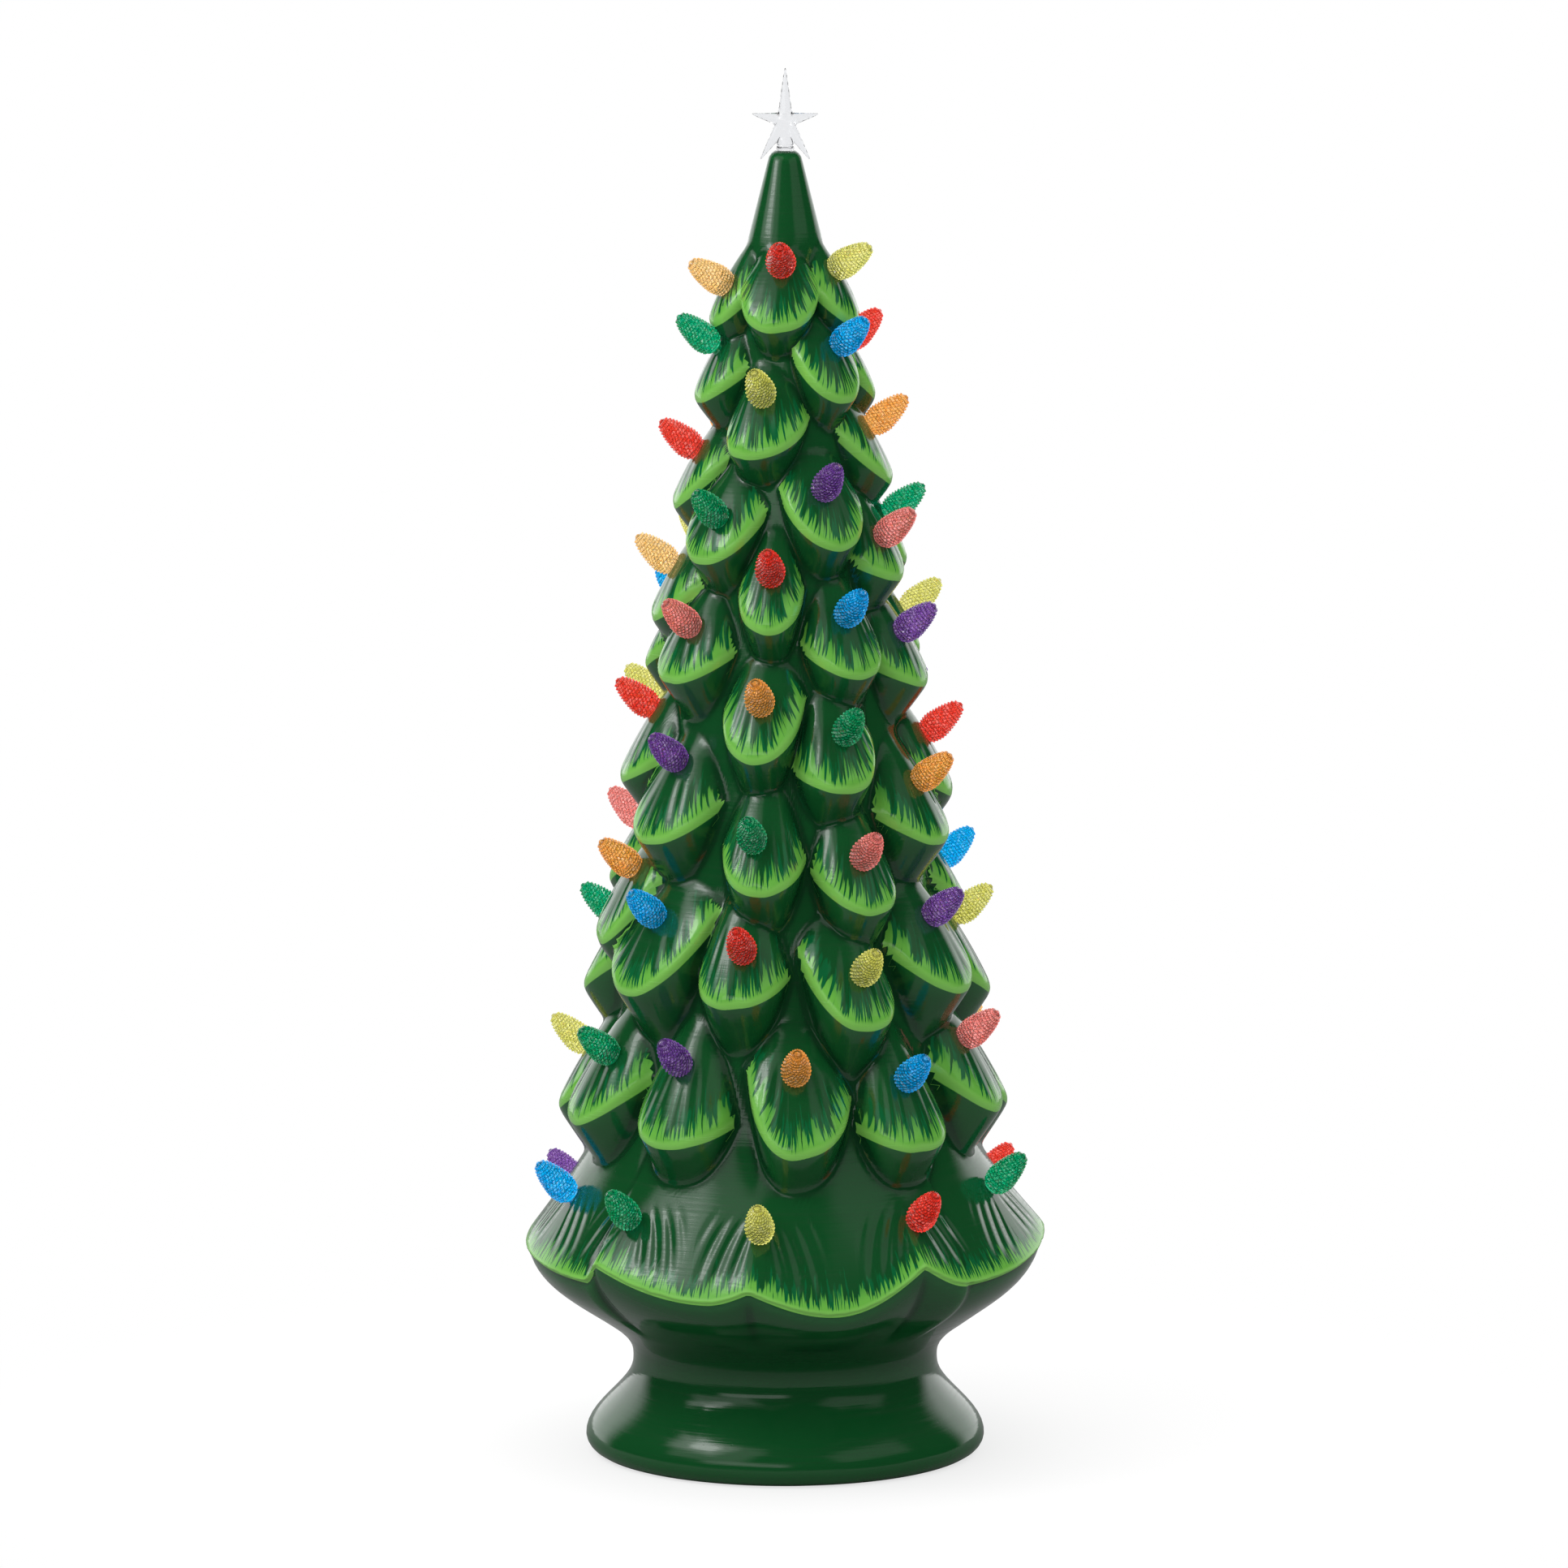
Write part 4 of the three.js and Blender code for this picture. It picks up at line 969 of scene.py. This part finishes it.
def makeBulbs(tree):
    mesh = makeBulbMesh()
    looks = {name: makeBulbMaterial(name, rgb) for name, rgb in bulbColours.items()}
    cad = cadBulbs()
    used = set()
    back = 0
    for azimuth, height, tilt, colour in bulbSeats(tree):
        angle = math.radians(azimuth)
        spot = shellSurface(np.array([float(azimuth)]), np.array([float(height)]), tree)[0][0]
        foot = Vector((spot * math.sin(angle), -spot * math.cos(angle), height)) * 0.001
        axis = axisOf(azimuth, tilt)
        name = None
        # where the CAD has this bulb, it sits just as it does there
        for candidate, points in cad.items():
            nose = max(points, key=lambda point: point.dot(axis))
            start = nose - axis * bulb["length"] * 0.001
            close = (start - foot).length < bulb["seatReach"]
            if candidate not in used and close and candidate.endswith(colour):
                name = candidate
                foot = start
        made = objectFrom("facetedBulb", mesh.copy())
        turn = axis.to_track_quat("Z", "Y").to_matrix().to_4x4()
        made.data.transform(Matrix.Translation(foot) @ turn @ Matrix.Scale(0.001, 4))
        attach(made, "tree")
        if name:
            made.name = "faceted_" + name
            used.add(name)
            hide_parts(name)
        else:
            back += 1
            made.name = "faceted_back_bulb_%02d_%s" % (back, colour)
        "bulb_" + colour
        made.data.name = made.name
        made.data.materials.append(looks[colour])
    print("bulbs:", len(used), "of the CAD's", len(cad), "and", back, "more at the back")


makeBulbs(tree)


# Star
star = {
    "centre": 587.0,  # millimetres
    "up": 23.0,
    "arm": 14.6,
    "armRise": 2.8,
    "leg": 10.7,
    "legDrop": 17.0,
    "rootWidth": 3.9,
    "rootDepth": 1.5,  # how far each arm starts behind the middle
    "tipWidth": 0.35,
    "depth": 3.6,
    "postRadius": 3.5,
    "pinRadius": 2.7,
    "pinLength": 13.0,
    "fineness": 0.00042,  # metres, of the mesh that fuses the arms and the post
    "smoothing": 5,
}


def starArms():
    s = star
    form = bmesh.new()
    tips = [
        (0, s["up"]),
        (s["arm"], s["armRise"]),
        (s["leg"], -s["legDrop"]),
        (-s["leg"], -s["legDrop"]),
        (-s["arm"], s["armRise"]),
    ]
    for x, z in tips:
        length = math.hypot(x, z) + s["rootDepth"]
        arm = bmesh.ops.create_cone(form, cap_ends=True, segments=12, radius1=s["rootWidth"],
                                    radius2=s["tipWidth"], depth=length)["verts"]
        bmesh.ops.translate(form, verts=arm, vec=(0, 0, length / 2 - s["rootDepth"]))
        bmesh.ops.scale(form, verts=arm, vec=(1, s["depth"] / s["rootWidth"], 1))
        turn = Matrix.Rotation(math.atan2(x, z), 3, "Y")
        bmesh.ops.rotate(form, verts=arm, cent=(0, 0, 0), matrix=turn)
    middle = s["rootWidth"] + 0.5
    ball = bmesh.ops.create_uvsphere(form, u_segments=20, v_segments=12, radius=middle)["verts"]
    bmesh.ops.scale(form, verts=ball, vec=(1, 0.85, 1))
    bmesh.ops.translate(form, verts=form.verts[:], vec=(0, 0, s["centre"]))
    return objectFrom("clearStar", meshFrom("clearStar", form))


def starPost():
    form = bmesh.new()
    top, post, pin = shell["height"], star["postRadius"], star["pinRadius"]
    profile = [
        (0.0, top - star["pinLength"]),
        (pin, top - star["pinLength"]),
        (pin, top + 0.3),
        (post + 0.5, top + 0.3),
        (post + 0.5, top + 1.4),
        (post, top + 1.9),
        (post - 0.2, top + 5.0),
        (post - 0.5, top + 5.4),
        (post - 0.4, top + 9.5),
        (0.0, top + 10.5),
    ]
    spun(form, [(r, 0, z) for r, z in profile], 24)
    bmesh.ops.remove_doubles(form, verts=form.verts, dist=1e-4)
    bmesh.ops.recalc_face_normals(form, faces=form.faces)
    return objectFrom("starPost", meshFrom("starPost", form))


def makeClearPlastic():
    made, sh = material("clearPlastic")
    place = sh.place()
    finishWith(sh, {
        "Base Color": (0.86, 0.87, 0.89, 1),
        "Roughness": 0.02 + 0.06 * sh.noise(place, 300.0, 2.0),
        "IOR": 1.47,
        "Transmission Weight": 1.0,
        "Normal": sh.bump(sh.noise(place, 240.0, 2.0), 0.0004, 0.1),
    })
    return made


# The arms and the post, joined and fused into one skin
def makeStar():
    made = starArms()
    post = starPost()
    for obj in (made, post):
        obj.data.transform(Matrix.Scale(0.001, 4))
    bpy.context.view_layer.objects.active = made
    for obj in bpy.context.selected_objects:
        obj.select_set(False)
    made.select_set(True)
    post.select_set(True)
    bpy.ops.object.join()
    remesh = made.modifiers.new("fused", "REMESH")
    remesh.mode = "VOXEL"
    remesh.voxel_size = star["fineness"]
    remesh.use_smooth_shade = True
    bpy.ops.object.modifier_apply(modifier=remesh.name)
    form = bmesh.new()
    form.from_mesh(made.data)
    for _ in range(star["smoothing"]):
        bmesh.ops.smooth_vert(form, verts=form.verts, factor=0.5,
                              use_axis_x=True, use_axis_y=True, use_axis_z=True)
    form.to_mesh(made.data)
    form.free()
    made.data.polygons.foreach_set("use_smooth", np.ones(len(made.data.polygons), bool))
    made.data.materials.clear()
    made.data.materials.append(makeClearPlastic())
    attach(made, "star")
    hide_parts("star_topper")
    return made


clearStar = makeStar()
print("star:", len(clearStar.data.polygons), "faces")


# Foot and inside: the CAD's own pieces with looks of their own
def plainMaterial(name, rgb, roughness, metallic):
    made, sh = material(name)
    place = sh.place()
    texture = sh.noise(place, 900.0, 3.0, 0.6)
    worn = sh.noise(place, 45.0, 3.0, 0.6)
    colour = linear(*rgb)
    finishWith(sh, {
        "Base Color": sh.mix(worn, tinted(colour, 0.75), colour),
        "Roughness": roughness * 0.8 + roughness * 0.4 * texture,
        "Metallic": metallic,
        "Normal": sh.bump(texture, 0.0001, 0.6),
    })
    return made


# Colour, roughness and metal of each look, and the pieces that have it
nodeLooks = {
    "mouldedBlack": ((30, 31, 33), 0.55, 0.0, ["base_plate", "battery_door"]),
    "satinWhite": ((232, 230, 222), 0.42, 0.0, [
        "lamp_post",
        "led_module_lower",
        "led_module_middle",
        "led_module_upper",
        "switch_slider",
    ]),
    "nickelPlate": ((205, 202, 194), 0.28, 1.0, [
        "switch_body",
        "contact_negative",
        "contact_bridge_left",
        "contact_bridge_right",
        "contact_positive",
    ]),
    "boardGreen": ((28, 96, 52), 0.4, 0.0, ["circuit_board"]),
    "copperFoil": ((188, 122, 70), 0.32, 0.7, ["battery_cell_1", "battery_cell_2", "battery_cell_3"]),
    "redInsulation": ((178, 26, 24), 0.5, 0.0, ["wire_red"]),
    "blackInsulation": ((28, 28, 28), 0.5, 0.0, ["wire_black"]),
}
for look, (rgb, roughness, metallic, names) in nodeLooks.items():
    made = plainMaterial(look, rgb, roughness, metallic)
    for name in names:
        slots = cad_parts[name].data.materials
        slots.clear()
        slots.append(made)
print("foot and inside done")


# Stage
stage = {
    "reach": (1.6, 0.45, 6.0),  # sideways, in front and behind, in metres
    "shadow": 0.3,  # how much of the floor's white takes the shadow
    "shadowEnd": (0.1, 0.4),  # metres from the tree's axis
    "floorGrey": 0.3,  # what the glaze sees of the floor
    "hole": 0.077,  # radius of the opening that the foot covers
    "backdrop": 1.5,  # how bright the glaze sees it, and then the rest of the room
    "room": 0.02,
    "fill": (0.55, 1.25),  # on everything matt, from the side and from above
    "lampsFace": 0.2,  # height in metres of the point that the lamps face
    "lampEdge": 0.16,  # how wide their soft edges are
}


def makeFloor():
    s = stage
    side, front, back = s["reach"]
    form = bmesh.new()
    bmesh.ops.create_grid(form, x_segments=1, y_segments=1, size=1)
    for vert in form.verts:
        vert.co.x *= side
        vert.co.y = back if vert.co.y > 0 else -front
    floor = objectFrom("whiteSweep", meshFrom("whiteSweep", form))
    made, sh = material("whiteSweep")
    path = sh.node("ShaderNodeLightPath")
    x, y, _ = sh.parts(sh.place())
    distance = (x * x + y * y) ** 0.5
    far = sh.step(distance, *s["shadowEnd"])
    grain = sh.noise(sh.place(), 4.0, 2.0)
    through = Wire(sh, path.outputs["Is Transmission Ray"])
    seen = Wire(sh, path.outputs["Is Camera Ray"]).math("MAXIMUM", through)
    paper = sh.mix(grain, grey(0.92), grey(0.95))
    diffuse = sh.node("ShaderNodeBsdfDiffuse", {"Color": sh.mix(seen, grey(s["floorGrey"]), paper)})
    glow = sh.node("ShaderNodeEmission", {"Color": grey(1), "Strength": 1.0})
    share = seen * (1.0 - s["shadow"] * (1.0 - far))
    mixed = sh.node("ShaderNodeMixShader", {0: share, 1: diffuse.outputs[0], 2: glow.outputs[0]})
    # open from below and inside the foot's ring, so that the underside has light and shows from there
    below = Wire(sh, sh.node("ShaderNodeNewGeometry").outputs["Backfacing"])
    hidden = below.math("MAXIMUM", 1.0 - sh.step(distance, s["hole"], s["hole"] + 0.001))
    gone = sh.node("ShaderNodeBsdfTransparent").outputs[0]
    shown = sh.node("ShaderNodeMixShader", {0: hidden, 1: mixed.outputs[0], 2: gone})
    sh.node("ShaderNodeOutputMaterial", {"Surface": shown.outputs[0]})
    floor.data.materials.append(made)


# White to the camera, a dark room with a bright backdrop in the glaze, half lit behind the camera
# and white ahead through clear plastic, and brighter from above on everything matt
def makeWorld():
    s = stage
    world = bpy.data.worlds.new("studio")
    scene.world = world
    world.use_nodes = True
    sh = Shader(world.node_tree)
    path = sh.node("ShaderNodeLightPath")
    _, forward, up = sh.parts(sh.node("ShaderNodeTexCoord").outputs["Generated"])
    room = sh.mix(sh.step(forward, 0.45, 0.7), grey(s["room"]), grey(s["backdrop"]))
    clearRoom = sh.mix(sh.step(forward, -0.5, 0.5), grey(0.5), grey(1))
    low, high = s["fill"]
    fill = sh.mix(sh.step(up, -0.1, 0.9), grey(low), grey(high))
    colour = sh.mix(Wire(sh, path.outputs["Is Diffuse Ray"]), room, fill)
    colour = sh.mix(Wire(sh, path.outputs["Is Transmission Ray"]), colour, clearRoom)
    colour = sh.mix(Wire(sh, path.outputs["Is Camera Ray"]), colour, grey(1))
    background = sh.node("ShaderNodeBackground", {"Color": colour, "Strength": 1.0})
    sh.node("ShaderNodeOutputWorld", {"Surface": background.outputs[0]})


lamps = {
    # azimuth and height over the tree's middle in degrees, distance, width and height, brightness
    "leftSoftbox": (-52, 42, 2.2, 2.2, 1.9, 0.7),
    "frontCard": (-24, 18, 2.2, 2.4, 0.5, 1.3),
    "rightSoftbox": (58, 36, 2.2, 2.2, 1.2, 0.4),
    "key": (-66, 43, 0.95, 0.7, 0.5, 1.5),
    "keyMiddle": (-62, 43, 0.94, 0.3, 0.22, 4.5),
}


def makeLamps():
    middle = Vector((0, 0, stage["lampsFace"]))
    for name, (azimuth, elevation, distance, width, tall, brightness) in lamps.items():
        data = bpy.data.lights.new(name, "AREA")
        data.shape = "RECTANGLE"
        data.size = width
        data.size_y = tall
        data.energy = brightness * math.pi * width * tall
        # brightest in the middle and soft towards its edges, like a cloth front
        data.use_nodes = True
        sh = Shader(data.node_tree)
        u, v, _ = sh.parts(sh.node("ShaderNodeNewGeometry").outputs["Parametric"])
        soft = stage["lampEdge"]
        edge = sh.step(u * (1.0 - u), 0.0, soft) * sh.step(v * (1.0 - v), 0.0, soft)
        glow = sh.node("ShaderNodeEmission", {"Color": grey(1), "Strength": edge})
        sh.node("ShaderNodeOutputLight", {"Surface": glow.outputs[0]})
        lamp = objectFrom(name, data)
        lamp.location = middle + distance * axisOf(azimuth, elevation)
        lamp.rotation_euler = (middle - lamp.location).to_track_quat("-Z", "Y").to_euler()


makeFloor()
makeWorld()
makeLamps()
print("stage and light done")
